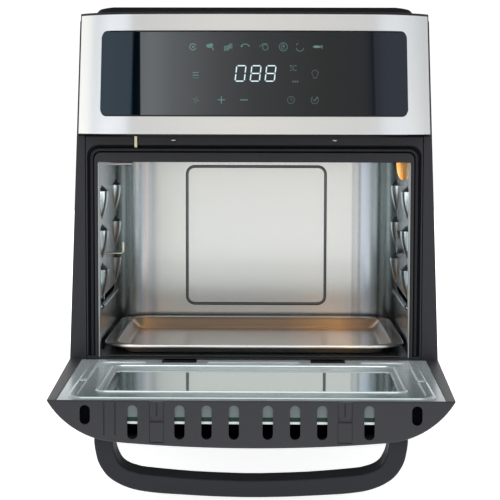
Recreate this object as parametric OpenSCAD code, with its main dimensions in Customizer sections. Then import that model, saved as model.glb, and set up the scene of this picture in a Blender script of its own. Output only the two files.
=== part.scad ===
// Countertop air-fryer oven with a drop-down door, in millimetres.
// X runs to the viewer's right, Y to the back, Z up. The door is modelled open.

/* [Body] */
// Half-width of the body at the level of the open door
body_half = 165; // [150:0.5:180]
// Narrowing of each side for each millimetre of height
side_slope = 0.038; // [0:0.001:0.06]
// Height of the body's top sheet above the table
body_top = 387; // [340:1:420]
// Depth of the body behind the front plane
body_depth = 272; // [240:1:320]
// Thickness of the outer shell
shell_t = 2.2; // [1.5:0.1:4]
// Height of the feet
foot_h = 12; // [8:0.5:20]
// Radius of a foot
foot_r = 11; // [8:0.5:15]
// Half-width of the rectangular front frame
frame_half = 150; // [140:0.5:155]
// Depth of the front frame
frame_t = 14; // [8:0.5:20]
// Rise of the glossy lid over the body's top
lid_rise = 10; // [5:0.5:14]

/* [Door] */
// Height of the open door's inner plane above the table
door_z = 82; // [80:0.5:95]
// Distance from the front plane to the open door's far edge
door_len = 211.6; // [190:0.1:230]
// Gap between the front plane and the door's hinge end
door_gap = 3.8; // [3:0.1:6]
// Half-width of the door at its free edge
door_half = 157.4; // [140:0.1:160]
// Half-width of the door at its hinge end
door_half_hinge = 165.3; // [140:0.1:170]
// Radius of the door's rounded sides
bulge_r = 66; // [50:1:80]
// Wall of the door's moulded frame
door_wall = 4; // [3:0.1:6]
// Distance of the hinge axis in front of the front plane
hinge_y = 7; // [5:0.1:10]
// Height of the hinge axis
hinge_z = 76; // [72:0.1:80]
// Radius of the hinge pins
hinge_pin_r = 2.5; // [2:0.1:4]
// Width of one slot in the door's free edge
slot_w = 8; // [6:0.5:10]

/* [Handle] */
// Outer half-width of the handle
handle_half = 121.3; // [110:0.1:130]
// Length of the handle's section along the door
handle_w = 27; // [20:0.5:32]
// Distance of the handle's front face from the front plane
handle_y = 204; // [195:0.5:208]

/* [Cavity] */
// Half-width of the cavity inside
cavity_half = 140.3; // [130:0.1:145]
// Depth of the cavity behind the front plane
cavity_depth = 235; // [200:1:260]
// Radius of the cavity's upright rear corners
cavity_r = 40; // [20:1:60]
// Half-width of the opening in the front frame
opening_half = 139.2; // [130:0.1:145]
// Height of the top of the opening above the table
opening_top = 259.7; // [230:0.1:280]
// Sheet thickness of the cavity
sheet_t = 1; // [0.5:0.1:2]

/* [Tray] */
// Half-width of the drip tray over its rolled rim
tray_half = 137.6; // [125:0.1:138.5]
// Depth of the tray from front to back
tray_len = 214; // [180:1:222]
// Height of the tray over its rim
tray_h = 9.9; // [8:0.1:18]
// Width of the tray's flat rim
tray_flange = 12; // [6:0.5:16]

/* [Fascia] */
// Height of the fascia's lower edge above the table
fascia_z0 = 282.4; // [275:0.1:290]
// Height of the fascia's upper edge above the table
fascia_z1 = 388; // [370:0.1:400]
// Half-width of the fascia at its lower edge
fascia_half_low = 157.3; // [140:0.1:160]
// Half-width of the fascia at its upper edge
fascia_half_high = 153.3; // [140:0.1:160]
// Thickness of the control glass
glass_t = 2.6; // [2:0.1:4]

/* [Fans] */
// Distance of the fan axis behind the front plane
fan_y = 125; // [100:1:150]
// Radius of the convection fan
fan_r = 66; // [50:1:80]
// Number of blades on the convection fan
fan_blades = 10; // [6:1:14]
// Radius of the motor shaft
shaft_r = 4; // [3:0.1:6]

/* [Hidden] */
$fn = 48;
shift_y = -37.2;
arc_from = 60;
arc_to = 5;
hinge_in = 52;
hinge_out = 80;
spit_y = 100;
spit_z = 179;
lamp_y = 85;
lamp_z = 253;
slot_x = [13, 34, 54.8, 91];
guide_y = [48, 175];
guide_z = [232.5, 196.5, 160.5];
key_row_x = [-52.5, -37, -22, -6.5, 9.5, 25, 39.5, 54];
key_low_x = [-50, -28, -8.5, 32, 52.5];

// Points of the bulged outline as [across, outward], inset by e.
function bulge_side(w, e) = [for (i = [0:10])
  let (t = arc_from - i * (arc_from - arc_to) / 10)
  [-w + bulge_r * sin(arc_from) - (bulge_r - e) * sin(t),
   (bulge_r - e) * cos(t) - bulge_r * cos(arc_from)]];
function bulge_big(w) = (w - bulge_r * (sin(arc_from) - sin(arc_to))) / sin(arc_to);
function bulge_mid(w, e) = [for (i = [1:7])
  let (t = arc_to - i * arc_to / 4, r = bulge_big(w))
  [-(r - e) * sin(t),
   (r - e) * cos(t) + bulge_r * (cos(arc_to) - cos(arc_from)) - r * cos(arc_to)]];
function bulge_flip(p) = [for (i = [len(p) - 1:-1:0]) [-p[i][0], p[i][1]]];
function bulge(w, e) = concat(bulge_side(w, e), bulge_mid(w, e),
  bulge_flip(bulge_side(w, e)));
// Outward distance of the fascia's front surface at half-height, near the middle.
function bow(x) = 37.1 - x * x / 2432;
function body_at(z) = body_half - side_slope * (z - door_z);

// A rounded rectangle about the origin.
module round_rect(w, l, r) {
  union() {
    square([w - 2 * r, l], center = true);
    square([w, l - 2 * r], center = true);
    for (sx = [-1, 1], sy = [-1, 1])
      translate([sx * (w / 2 - r), sy * (l / 2 - r)]) circle(r);
  }
}

// A flat outline in X and Z, made solid from y0 for len along Y.
module along_y(y0, len) {
  translate([0, y0 + len, 0]) rotate([90, 0, 0]) linear_extrude(len) children();
}

// A flat outline in Y and Z, made solid from x0 for len along X.
module along_x(x0, len) {
  translate([x0, 0, 0]) rotate([90, 0, 90]) linear_extrude(len) children();
}

// A rod along X.
module rod_x(r, x0, x1, y, z) {
  translate([x0, y, z]) rotate([0, 90, 0]) cylinder(r = r, h = x1 - x0);
}

// A rod along Y.
module rod_y(r, y0, y1, x, z) {
  translate([x, y1, z]) rotate([90, 0, 0]) cylinder(r = r, h = y1 - y0);
}

module mirror_pair() {
  children();
  mirror([1, 0, 0]) children();
}

// The door's bulged block between two distances from the front plane.
module door_block(e, y0, y1) {
  hull() {
    along_y(-y0, 0.01) polygon([for (p = bulge(door_half, e)) [p[0], door_z - p[1]]]);
    along_y(-y1 - 0.01, 0.01)
      polygon([for (p = bulge(door_half_hinge, e)) [p[0], door_z - p[1]]]);
  }
}

// The fascia's bulged block between two heights.
module fascia_block(e, z0, z1) {
  hull() {
    translate([0, 0, z0]) linear_extrude(0.01)
      polygon([for (p = bulge(fascia_half_low, e)) [p[0], -p[1]]]);
    translate([0, 0, z1 - 0.01]) linear_extrude(0.01)
      polygon([for (p = bulge(fascia_half_high, e)) [p[0], -p[1]]]);
  }
}

// The control glass outline, grown by g.
module glass_outline(g) {
  polygon(concat(
    [for (a = [180:15:270]) [-127.9 - g + 5 * cos(a) - 0.3, 303.6 - g + 5 * sin(a)]],
    [for (a = [270:15:360]) [127.9 + g + 5 * cos(a) + 0.3, 303.6 - g + 5 * sin(a)]],
    [for (a = [0:15:90]) [126.5 + g + 5 * cos(a), 366.7 + g + 5 * sin(a)]],
    [for (a = [90:15:180]) [-126.5 - g + 5 * cos(a), 366.7 + g + 5 * sin(a)]]));
}

function body_half_points(o) = concat(
  [[142 - o, 12 + o], [165.4 - o, 24.4 + o / 2], [body_at(30) - o, 30],
   [body_at(body_top - 6) - o, body_top - 6]],
  [for (a = [15:15:90])
    [body_at(body_top) - 6 + (6 - o) * cos(a), body_top - 6 + (6 - o) * sin(a)]]);
function body_points(o) = concat(body_half_points(o), bulge_flip(body_half_points(o)));

module outer_shell() {
  color([0.16, 0.16, 0.17])
  difference() {
    intersection() {
      along_y(0, body_depth) polygon(body_points(0));
      along_x(-180, 360) polygon([[0, 30], [24, 12], [body_depth - 12, 12],
        [body_depth, 26], [body_depth, body_top + 1], [0, body_top + 1]]);
    }
    intersection() {
      along_y(3, body_depth) polygon(body_points(shell_t));
      along_x(-180, 360) polygon([[3, 32], [26, 12 + shell_t],
        [body_depth - 14, 12 + shell_t], [body_depth - 3, 28],
        [body_depth + 1, 28], [body_depth + 1, body_top + 1], [3, body_top + 1]]);
    }
    translate([-frame_half - 0.3, -1, 29.7])
      cube([2 * frame_half + 0.6, 8, body_top - 31]);
    translate([-112, 44, 11]) cube([224, 196, 4]);
    translate([-118, 24, body_top - 4]) cube([236, 220, 6]);
    for (s = [-1, 1], i = [0:9])
      translate([s * 160 - 12, 70 + i * 15, 318]) cube([24, 5, 34]);
  }
}

module base_plate() {
  color([0.55, 0.56, 0.57])
  difference() {
    translate([0, 142, 14.3]) linear_extrude(1.2) round_rect(256, 216, 6);
    for (i = [-7:7])
      translate([i * 14 - 3, 70, 14]) cube([6, 60, 2]);
    for (i = [-7:7])
      translate([i * 14 - 3, 150, 14]) cube([6, 60, 2]);
  }
}

module foot(x, y) {
  color([0.08, 0.08, 0.08])
  translate([x, y, 0])
    rotate_extrude() polygon([[0, 0], [foot_r - 3, 0], [foot_r - 1.4, 0.6],
      [foot_r - 0.5, 2], [foot_r, foot_h - 2], [foot_r, foot_h], [0, foot_h]]);
}
module foot_front_left() { foot(-122, 42); }
module foot_front_right() { foot(122, 42); }
module foot_rear_left() { foot(-122, 244); }
module foot_rear_right() { foot(122, 244); }

module rear_cover() {
  color([0.2, 0.2, 0.21])
  difference() {
    union() {
      intersection() {
        along_y(body_depth - 2.2, 2.2) polygon(body_points(shell_t + 0.3));
        translate([-170, 200, 28.3]) cube([340, 100, 400]);
      }
      along_y(body_depth, 14) polygon([[-112, 66], [112, 66], [108, 358], [-108, 358]]);
    }
    along_y(body_depth - 3, 15) polygon([[-109, 69], [109, 69], [105, 355], [-105, 355]]);
    for (k = [0:2], i = [0:10])
      translate([-80 + i * 16 - 2.5, body_depth + 8, 92 + k * 86]) cube([5, 8, 66]);
    for (x = [-136, 136], z = [48, 352])
      rod_y(1.8, body_depth - 3, body_depth + 4, x, z);
    rod_y(9.1, body_depth - 4, body_depth + 4, 132, 100);
  }
}

module rear_screws() {
  color([0.75, 0.75, 0.76])
  for (x = [-136, 136], z = [48, 352]) {
    rod_y(1.7, body_depth - 8, body_depth, x, z);
    rod_y(3.6, body_depth, body_depth + 2, x, z);
  }
}

module cord_gland() {
  color([0.1, 0.1, 0.1])
  translate([132, body_depth, 100]) rotate([-90, 0, 0]) difference() {
    rotate_extrude() polygon([[3.5, -6], [11.5, -6], [11.5, -2.3], [9, -2.3],
      [9, 0.1], [11.5, 0.1], [11.5, 3], [7, 14], [3.5, 14]]);
  }
}

module top_cover() {
  color([0.03, 0.03, 0.035])
  difference() {
    intersection() {
      along_y(0, 262) polygon([[-141, body_top + 0.1], [141, body_top + 0.1],
        [140, body_top + 3], [136, body_top + 5.5], [118, body_top + 7.6],
        [80, body_top + 9.2], [40, body_top + lid_rise - 0.2],
        [0, body_top + lid_rise], [-40, body_top + lid_rise - 0.2],
        [-80, body_top + 9.2], [-118, body_top + 7.6], [-136, body_top + 5.5],
        [-140, body_top + 3]]);
      translate([0, 132, 0]) linear_extrude(420) round_rect(282, 260, 16);
    }
    translate([0, 132, body_top - 1]) linear_extrude(5) round_rect(262, 240, 10);
  }
}

module front_frame() {
  color([0.17, 0.17, 0.18])
  difference() {
    translate([-frame_half, 0, 30]) cube([2 * frame_half, frame_t, 251.6]);
    along_y(-1, frame_t + 2) translate([0, (door_z + opening_top) / 2])
      round_rect(2 * opening_half, opening_top - door_z - 0.2, 4);
    intersection() {
      along_y(-1, 6) difference() {
        translate([0, 160]) round_rect(296.8, 225.8, 9.7);
        translate([0, 157]) round_rect(284, 218, 6);
      }
      translate([-160, -2, 84]) cube([320, 20, 200]);
    }
    for (s = [-1, 1])
      translate([s * (hinge_in + hinge_out) / 2 - 14.4, -1, 70.7])
        cube([28.8, frame_t + 2, 7.6]);
    translate([-106.4, -1, 270.6]) cube([2.8, frame_t + 2, 10.6]);
    for (s = [-1, 1]) rod_y(2.6, -1, 8, s * 71.5, 278);
    translate([-frame_half + 6, 4, 36]) cube([2 * frame_half - 12, 12, 24]);
  }
}

module door_gasket() {
  color([0.09, 0.09, 0.1])
  difference() {
    intersection() {
      along_y(0.5, 4.4) difference() {
        translate([0, 160]) round_rect(296.4, 225.4, 9.5);
        translate([0, 157]) round_rect(284.4, 218.4, 6);
      }
      translate([-160, -2, 84.4]) cube([320, 20, 200]);
    }
    translate([-108, 0, 269.9]) cube([6, 6, 12]);
    for (s = [-1, 1]) rod_y(3, 0, 8, s * 71.5, 278);
  }
}

module front_bulkhead() {
  color([0.6, 0.61, 0.62])
  difference() {
    translate([-149.6, 0.4, 283]) cube([299.2, 1.2, 101]);
    translate([-60, 0, 296]) cube([40, 3, 20]);
    translate([60, 0, 296]) cube([40, 3, 20]);
  }
}

module fascia() {
  color([0.8, 0.8, 0.79])
  difference() {
    fascia_block(0, fascia_z0, fascia_z1);
    fascia_block(1.4, fascia_z0 - 1, fascia_z1 - 1.4);
    along_y(-60, 60) glass_outline(0);
    translate([-170, -0.01, 270]) cube([340, 20, 130]);
  }
}

module fascia_trim() {
  color([0.07, 0.07, 0.07])
  difference() {
    fascia_block(0.8, 281, fascia_z0 - 0.05);
    translate([-170, -0.01, 270]) cube([340, 20, 130]);
  }
}

module fascia_carrier() {
  color([0.12, 0.12, 0.13])
  difference() {
    intersection() {
      fascia_block(3.2, fascia_z0 + 0.05, fascia_z1 - 1.6);
      translate([-146, -60, 270]) cube([292, 59.9, 120]);
    }
    intersection() {
      fascia_block(5.6, fascia_z0 + 2.4, fascia_z1 - 4);
      translate([-143, -60, 270]) cube([286, 70, 120]);
    }
    translate([-124, -60, 300]) cube([248, 60, 72]);
  }
}

module control_glass() {
  color([0.02, 0.02, 0.025])
  intersection() {
    difference() {
      fascia_block(-0.3, fascia_z0, fascia_z1);
      fascia_block(glass_t, fascia_z0 - 1, fascia_z1 + 1);
    }
    along_y(-60, 60) glass_outline(-0.25);
  }
}

module display_module() {
  color([0.05, 0.06, 0.06])
  union() {
    translate([-26, -34, 322]) cube([56, 10, 27]);
    for (x = [-20, 24]) rod_y(1.2, -24, -22.1, x, 335);
  }
}

module touch_board() {
  color([0.05, 0.22, 0.1])
  difference() {
    union() {
      translate([-120, -22, 302]) cube([240, 1.6, 68]);
      for (x = [-90, -60, 70, 95]) translate([x, -20.4, 320]) cube([14, 5, 18]);
      for (x = [-110, 110], z = [308, 364]) rod_y(3, -20.4, 0.3, x, z);
    }
    for (x = [-20, 24]) rod_y(1.3, -23, -20, x, 335);
  }
}

module touch_springs() {
  color([0.78, 0.74, 0.6])
  union() {
    for (x = key_row_x) rod_y(2.4, -bow(x) + 3.1, -22.1, x, 358);
    for (x = key_low_x) rod_y(2.4, -bow(x) + 3.1, -22.1, x, 308.5);
  }
}

module cavity_outline(half, y0, y1, r) {
  union() {
    translate([-half, y0]) square([2 * half, y1 - y0 - r]);
    translate([-half + r, y0]) square([2 * (half - r), y1 - y0]);
    for (s = [-1, 1]) translate([s * (half - r), y1 - r]) circle(r, $fn = 96);
  }
}

// One stamped rack rest on a side wall: open on top, running out to the wall below.
module rack_rest(y, z) {
  difference() {
    along_y(y - 12, 24) polygon([[-cavity_half - 0.2, z], [-cavity_half + 5.2, z],
      [-cavity_half + 5.2, z - 4], [-cavity_half - 0.2, z - 27]]);
    along_y(y - 10.8, 21.6) polygon([[-cavity_half - 2, z + 1],
      [-cavity_half + 4.2, z + 1], [-cavity_half + 4.2, z - 3.8],
      [-cavity_half - 2, z - 24]]);
  }
}

module cavity_wrap() {
  color([0.75, 0.76, 0.76])
  difference() {
    union() {
      difference() {
        translate([0, 0, door_z + 0.4]) linear_extrude(217.4)
          cavity_outline(cavity_half + sheet_t, frame_t + 0.2, cavity_depth + sheet_t,
            cavity_r + sheet_t);
        translate([0, 0, door_z - 1]) linear_extrude(230)
          cavity_outline(cavity_half, 0, cavity_depth, cavity_r);
      }
      for (y = guide_y, z = guide_z) {
        rack_rest(y, z);
        mirror([1, 0, 0]) rack_rest(y, z);
      }
      mirror_pair() along_y(30, 140) polygon([[-cavity_half - 0.2, 126.5],
        [-cavity_half + 4, 126.5], [-cavity_half + 4, 124], [-cavity_half - 0.2, 120]]);
      along_y(cavity_depth - 0.6, 1) translate([0, door_z + 92.75]) difference() {
        round_rect(146, 145.5, 9.5);
        round_rect(140, 139.5, 6.5);
      }
    }
    for (s = [-1, 1], y = guide_y, z = guide_z)
      translate([s * (cavity_half + 0.5) - 1.2, y - 10.8, z - 4]) cube([2.4, 21.6, 5]);
    rod_x(9.4, cavity_half - 1, cavity_half + 3, spit_y, spit_z);
    rod_x(12.5, cavity_half - 1, cavity_half + 3, lamp_y, lamp_z);
    rod_x(2.1, -cavity_half - 3, -cavity_half + 1, 188, 250);
    rod_x(1.3, -cavity_half - 3, -cavity_half + 1, 81, 169.3);
  }
}

module cavity_floor() {
  color([0.72, 0.73, 0.73])
  translate([0, 0, door_z - 0.8]) linear_extrude(1)
    cavity_outline(cavity_half - 0.2, frame_t + 0.2, cavity_depth - 0.2, cavity_r);
}

module cavity_top() {
  color([0.7, 0.71, 0.71])
  difference() {
    translate([0, 0, 300]) linear_extrude(1)
      cavity_outline(cavity_half + sheet_t, frame_t + 0.2, cavity_depth + sheet_t,
        cavity_r + sheet_t);
    translate([0, fan_y, 299]) cylinder(r = 9, h = 3);
    for (x = [-26, 26]) translate([x, 222, 299]) cylinder(r = 3.4, h = 3);
  }
}

module fan_guard() {
  color([0.7, 0.71, 0.71])
  difference() {
    translate([0, 0, 270]) linear_extrude(0.8)
      cavity_outline(cavity_half - 0.3, frame_t + 0.4, cavity_depth - 0.3, cavity_r);
    for (k = [0:2], i = [0:11]) rotate_about(0, fan_y, i * 30 + k * 10)
      translate([26 + k * 21, 0, 269]) cylinder(r = 4.5, h = 3, $fn = 20);
    for (i = [-3:3], s = [-1, 1])
      translate([s * 118 - 3, 120 + i * 22 - 7, 269]) cube([6, 14, 3]);
  }
}

module rotate_about(x, y, a) {
  translate([x, y, 0]) rotate([0, 0, a]) children();
}

module heating_element() {
  color([0.35, 0.34, 0.33])
  union() {
    translate([0, fan_y, 279]) rotate([0, 0, 105]) rotate_extrude(angle = 330)
      translate([84, 0]) circle(3.2, $fn = 24);
    for (x = [-26, 26]) {
      translate([x, 205, 279]) rotate([-90, 0, 0]) cylinder(r = 3.2, h = 17, $fn = 24);
      translate([x, 222, 279]) sphere(3.2, $fn = 24);
      translate([x, 222, 279]) cylinder(r = 3.2, h = 40, $fn = 24);
    }
  }
}

module element_clips() {
  color([0.6, 0.6, 0.6])
  for (a = [200, 270, 340]) rotate_about(0, fan_y, a) translate([84, 0, 0]) difference() {
    translate([-5, -4, 275]) cube([10, 8, 24.8]);
    translate([-3.4, -5, 275.8]) cube([6.8, 10, 22.8]);
  }
}

module rotisserie_support() {
  color([0.72, 0.6, 0.35])
  union() {
    rod_x(1.1, -cavity_half - 4, -126.5, 81, 169.3);
    translate([-126.5, 81, 171.8]) rotate([90, 0, 0]) rotate([0, 0, 270])
      rotate_extrude(angle = 90) translate([2.5, 0]) circle(1.1, $fn = 20);
    translate([-124, 81, 171.8]) cylinder(r = 1.1, h = 8);
    rod_x(3.2, -cavity_half - 2.2, -cavity_half - 1.05, 81, 169.3);
  }
}

module rotisserie_motor() {
  color([0.5, 0.5, 0.5])
  difference() {
    union() {
      rod_x(24, 142.5, 155, spit_y, spit_z);
      along_x(141.35, 1.2) translate([spit_y, spit_z]) round_rect(66, 20, 4);
    }
    rod_x(5.05, 140, 153, spit_y, spit_z);
  }
}

module drive_socket() {
  color([0.66, 0.66, 0.67])
  difference() {
    union() {
      rod_x(11, 135, 139.6, spit_y, spit_z);
      rod_x(9, 139.6, 141, spit_y, spit_z);
      rod_x(5, 141, 152, spit_y, spit_z);
    }
    translate([134, spit_y - 4.1, spit_z - 4.1]) cube([12, 8.2, 8.2]);
  }
}

module lamp_lens() {
  color([1, 0.75, 0.4, 0.7])
  translate([cavity_half, lamp_y, lamp_z]) rotate([0, -90, 0]) rotate_extrude()
    polygon([[12, -3], [13.6, -3], [13.6, -1.15], [12.3, -1.15], [12.3, 0.1],
      [14.5, 0.1], [14.2, 2.2], [12, 4.6], [8, 6.2], [4, 7], [0, 7.2], [0, 5.7],
      [4, 5.5], [7.6, 4.9], [10.8, 3.4], [12, 1.2]]);
}

module lamp_bulb() {
  color([1, 0.9, 0.7])
  translate([cavity_half, lamp_y, lamp_z]) rotate([0, -90, 0]) rotate_extrude()
    polygon([[0, -9], [3.6, -9], [3.6, -3.5], [4.6, -1.8], [5, 0.5], [4.4, 2.7],
      [2.6, 4.6], [0, 5.3]]);
}

module lamp_socket() {
  color([0.9, 0.89, 0.86])
  difference() {
    union() {
      rod_x(17, cavity_half + 3.1, cavity_half + 5, lamp_y, lamp_z);
      rod_x(9, cavity_half + 5, cavity_half + 14, lamp_y, lamp_z);
    }
    rod_x(3.7, cavity_half + 3, cavity_half + 9.1, lamp_y, lamp_z);
  }
}

module temperature_probe() {
  color([0.8, 0.8, 0.8])
  union() {
    rod_x(2, -148, -126, 188, 250);
    translate([-126, 188, 250]) sphere(2);
    rod_x(5, -148, -cavity_half - sheet_t - 0.05, 188, 250);
  }
}

module heat_shield() {
  color([0.66, 0.67, 0.67])
  difference() {
    union() {
      translate([-146, 6, 306]) cube([292, 256, 1]);
      mirror_pair() translate([-146, 6, 298]) cube([1, 256, 8]);
    }
    translate([0, fan_y, 305]) cylinder(r = 9, h = 3);
    for (x = [-26, 26]) translate([x, 222, 305]) cylinder(r = 4, h = 3);
  }
}

module motor_stator() {
  color([0.45, 0.3, 0.2])
  difference() {
    union() {
      translate([-31, fan_y - 27, 318]) cube([62, 54, 18]);
      translate([-44, fan_y - 17, 313]) cube([14, 34, 28]);
    }
    translate([0, fan_y, 317]) cylinder(r = 19, h = 20);
  }
}

module motor_bracket() {
  color([0.7, 0.7, 0.71])
  difference() {
    union() {
      translate([-40, fan_y - 22, 307.1]) cube([80, 44, 2]);
      for (sx = [-1, 1], sy = [-1, 1])
        translate([sx * 25, fan_y + sy * 18, 307.1]) cylinder(r = 3, h = 10.8);
      for (sx = [-1, 1], sy = [-1, 1])
        translate([sx * 25, fan_y + sy * 18, 336.1]) cylinder(r = 3, h = 5);
      translate([-29, fan_y - 22, 341]) cube([58, 44, 3]);
    }
    translate([0, fan_y, 300]) cylinder(r = shaft_r + 0.05, h = 60);
  }
}

module motor_shaft() {
  color([0.7, 0.7, 0.72])
  translate([0, fan_y, 0]) union() {
    translate([0, 0, 280]) cylinder(r = shaft_r, h = 92);
    translate([0, 0, 317.5]) cylinder(r = 18.4, h = 19);
  }
}

module fan_wheel(z, r, n, h, lean) {
  translate([0, fan_y, z]) difference() {
    union() {
      cylinder(r = 10, h = h);
      translate([0, 0, h - 1]) cylinder(r = r * 0.55, h = 1);
      for (i = [0:n - 1]) rotate([0, 0, i * 360 / n])
        translate([8, -0.5, 0]) rotate([lean, 0, 0]) cube([r - 8.6, 1, h - 0.2]);
    }
    translate([0, 0, -1]) cylinder(r = shaft_r, h = h + 2);
  }
}

module hot_fan() {
  color([0.62, 0.62, 0.63])
  fan_wheel(283, fan_r, fan_blades, 13, 0);
}

module cooling_fan() {
  color([0.25, 0.25, 0.26])
  fan_wheel(350, 52, 7, 16, 0);
}

module fan_shroud() {
  color([0.13, 0.13, 0.13])
  union() {
    translate([0, fan_y, 346]) difference() {
      cylinder(r = 60, h = 22, $fn = 72);
      translate([0, 0, -1]) cylinder(r = 57, h = 24, $fn = 72);
      translate([-20, 40, -1]) cube([40, 30, 24]);
    }
    for (a = [45, 135, 225, 315]) rotate_about(0, fan_y, a)
      translate([58.5, 0, 307.1]) cylinder(r = 4, h = 39);
  }
}

module power_board() {
  color([0.25, 0.18, 0.08])
  union() {
    translate([76, 60, 314]) cube([58, 120, 1.6]);
    for (x = [82, 128], y = [66, 174]) translate([x, y, 307.1]) cylinder(r = 2.5, h = 7);
    for (y = [72, 96, 120]) translate([80, y, 315.5]) cube([16, 19, 15]);
    translate([102, 80, 315.5]) cube([26, 24, 20]);
    for (y = [125, 148]) translate([112, y, 315.5]) cylinder(r = 8, h = 22);
  }
}

module door_switch() {
  color([0.85, 0.84, 0.8])
  union() {
    translate([-116, 16.4, 271.2]) cube([22, 10, 8]);
    for (x = [-114, -105.5, -98]) translate([x, 26.4, 273]) cube([2, 5, 3]);
    for (x = [-113, -97]) rod_y(2, frame_t + 0.05, 16.4, x, 274);
  }
}

module switch_lever() {
  color([0.9, 0.85, 0.65])
  union() {
    translate([-106.1, -0.5, 270.9]) cube([2.2, 8.5, 9.6]);
    rod_y(1, 8, 13.2, -105, 275);
  }
}

module magnet_studs() {
  color([0.85, 0.85, 0.86])
  for (s = [-1, 1]) translate([s * 71.5, 0, 278]) rotate([90, 0, 0]) rotate_extrude()
    polygon([[0, -7], [2.5, -7], [2.5, 0.1], [2, 0.45], [1, 0.6], [0, 0.6]]);
}

module hinge_bracket() {
  color([0.3, 0.3, 0.31])
  difference() {
    union() {
      rod_x(5.2, hinge_in, hinge_out, -hinge_y, hinge_z);
      translate([hinge_in, -hinge_y, hinge_z - 5.1]) cube([28, 21.4, 6.2]);
      translate([hinge_in - 4, frame_t + 0.2, 60]) cube([36, 1.6, 20.6]);
    }
    rod_x(hinge_pin_r + 0.05, hinge_in - 1, hinge_out + 1, -hinge_y, hinge_z);
  }
}
module hinge_bracket_right() { hinge_bracket(); }
module hinge_bracket_left() { mirror([1, 0, 0]) hinge_bracket(); }

module hinge_pin() {
  color([0.75, 0.75, 0.76])
  rod_x(hinge_pin_r, 44.5, 87.5, -hinge_y, hinge_z);
}
module hinge_pin_right() { hinge_pin(); }
module hinge_pin_left() { mirror([1, 0, 0]) hinge_pin(); }

module door_frame() {
  color([0.18, 0.18, 0.19])
  difference() {
    union() {
      difference() {
        door_block(0, door_len, door_gap);
        intersection() {
          door_block(door_wall, door_len - 3.4, door_gap + 3.4);
          translate([-170, -240, 0]) cube([340, 300, door_z - 3.4]);
        }
      }
      for (s = [-1, 1], x = [43, 81.8])
        translate([s > 0 ? x : -x - 7.2, -13.5, 70.5]) cube([7.2, 9.5, 9]);
    }
    difference() {
      translate([-118, -192, 30]) cube([236, 164, 40]);
      door_block(2.8, door_len + 1, door_gap - 1);
    }
    translate([-110, -184, 30]) cube([220, 148, 40]);
    translate([0, 0, door_z - 1.4]) linear_extrude(3) polygon([[-154.1, -2],
      [154.1, -2], [150.1, -210.7], [-150.1, -210.7]]);
    translate([-128, -192, 60]) cube([256, 154, 30]);
    for (s = [-1, 1])
      translate([s * 66 - 15.7, -25, 58]) cube([31.4, 30, 30]);
    for (s = [-1, 1], x = slot_x)
      along_y(-door_len - 1, 6) translate([s * x, door_z - 17.2]) round_rect(slot_w, 26.6, 3.99);
    for (s = [-1, 1])
      along_y(-door_len - 1, 2.6) translate([s * 127.5, door_z - 10.8])
        round_rect(slot_w, 16.4, 3.99);
    for (s = [-1, 1])
      translate([s * 72.3 - 5.6, -door_len - 1, door_z - 33]) cube([11.2, 6, 36]);
    for (x = [-113.4, -104.8])
      translate([x, -door_len - 0.1, door_z - 27]) cube([1.3, 1, 28]);
    for (s = [-1, 1]) rod_x(hinge_pin_r, s > 0 ? 44.5 : -87.5, s > 0 ? 87.5 : -44.5,
      -hinge_y, hinge_z);
    for (s = [-1, 1]) translate([s * 113, -196, 40]) cylinder(r = 2.2, h = 22);
    translate([-127, -208.15, 66]) cube([254, 1.5, 20]);
    for (s = [-1, 1]) translate([s * 139.4, -117, 74]) cylinder(r = 1.6, h = 8);
  }
}

module door_inner_panel() {
  color([0.66, 0.7, 0.7])
  union() {
    difference() {
      translate([0, 0, door_z - 1.35]) linear_extrude(0.95) polygon([[-153.8, -door_gap],
        [153.8, -door_gap], [149.9, -210.4], [-149.9, -210.4]]);
      for (s = [-1, 1])
        translate([s * 66 - 15.5, -21, door_z - 3]) cube([31, 24, 6]);
      translate([0, -117, door_z - 3]) linear_extrude(6) round_rect(234, 102, 6);
      for (s = [-1, 1]) translate([s * 139.4, -117, 70]) cylinder(r = 1.6, h = 20);
    }
    difference() {
      translate([0, -108.5, door_z - 0.45]) linear_extrude(0.85) difference() {
        round_rect(287.4, 185, 12);
        round_rect(271, 169, 8);
      }
      for (s = [-1, 1]) translate([s * 67.8 - 27, -26, 80]) cube([54, 26, 4]);
      for (s = [-1, 1]) translate([s * 139.4, -117, 70]) cylinder(r = 4, h = 20);
    }
    translate([0, -105, door_z - 0.45]) linear_extrude(0.85) difference() {
      round_rect(249, 134, 10);
      round_rect(243, 128, 7);
    }
    translate([-126, -207.9, 68.4]) cube([252, 0.9, 12.3]);
  }
}

module door_inner_glass() {
  color([0.6, 0.7, 0.68, 0.5])
  translate([-123, -176, door_z - 5.2]) cube([246, 118, 3.8]);
}

module door_middle_glass() {
  color([0.4, 0.6, 0.52, 0.5])
  translate([-126, -206, 64.6]) cube([252, 176, 3.4]);
}

module door_glass_seal() {
  color([0.85, 0.85, 0.83])
  translate([0, -118, 62.6]) linear_extrude(1.9) difference() {
    round_rect(252, 176, 3);
    round_rect(228, 152, 3);
  }
}

module door_outer_window() {
  color([0.03, 0.03, 0.035, 0.9])
  intersection() {
    difference() {
      door_block(0, door_len, door_gap);
      door_block(2.6, door_len + 1, door_gap - 1);
    }
    translate([-117.7, -191.7, 30]) cube([235.4, 163.4, 40]);
  }
}

module door_catch() {
  color([0.15, 0.15, 0.16])
  difference() {
    union() {
      translate([67, -door_len, door_z - 32.4]) cube([10.6, 2.4, 15.2]);
      along_y(-door_len, 2.4) union() {
        translate([67, door_z - 10.4]) square([10.6, 9]);
        translate([72.3, door_z - 10.4]) circle(5.3);
      }
      translate([69.5, -door_len + 2.2, door_z - 32.4]) cube([5.6, 1.4, 31]);
    }
    translate([71.7, -door_len - 1, door_z - 12]) cube([1.2, 2, 12]);
  }
}
module door_catch_right() { door_catch(); }
module door_catch_left() { mirror([1, 0, 0]) door_catch(); }

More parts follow.
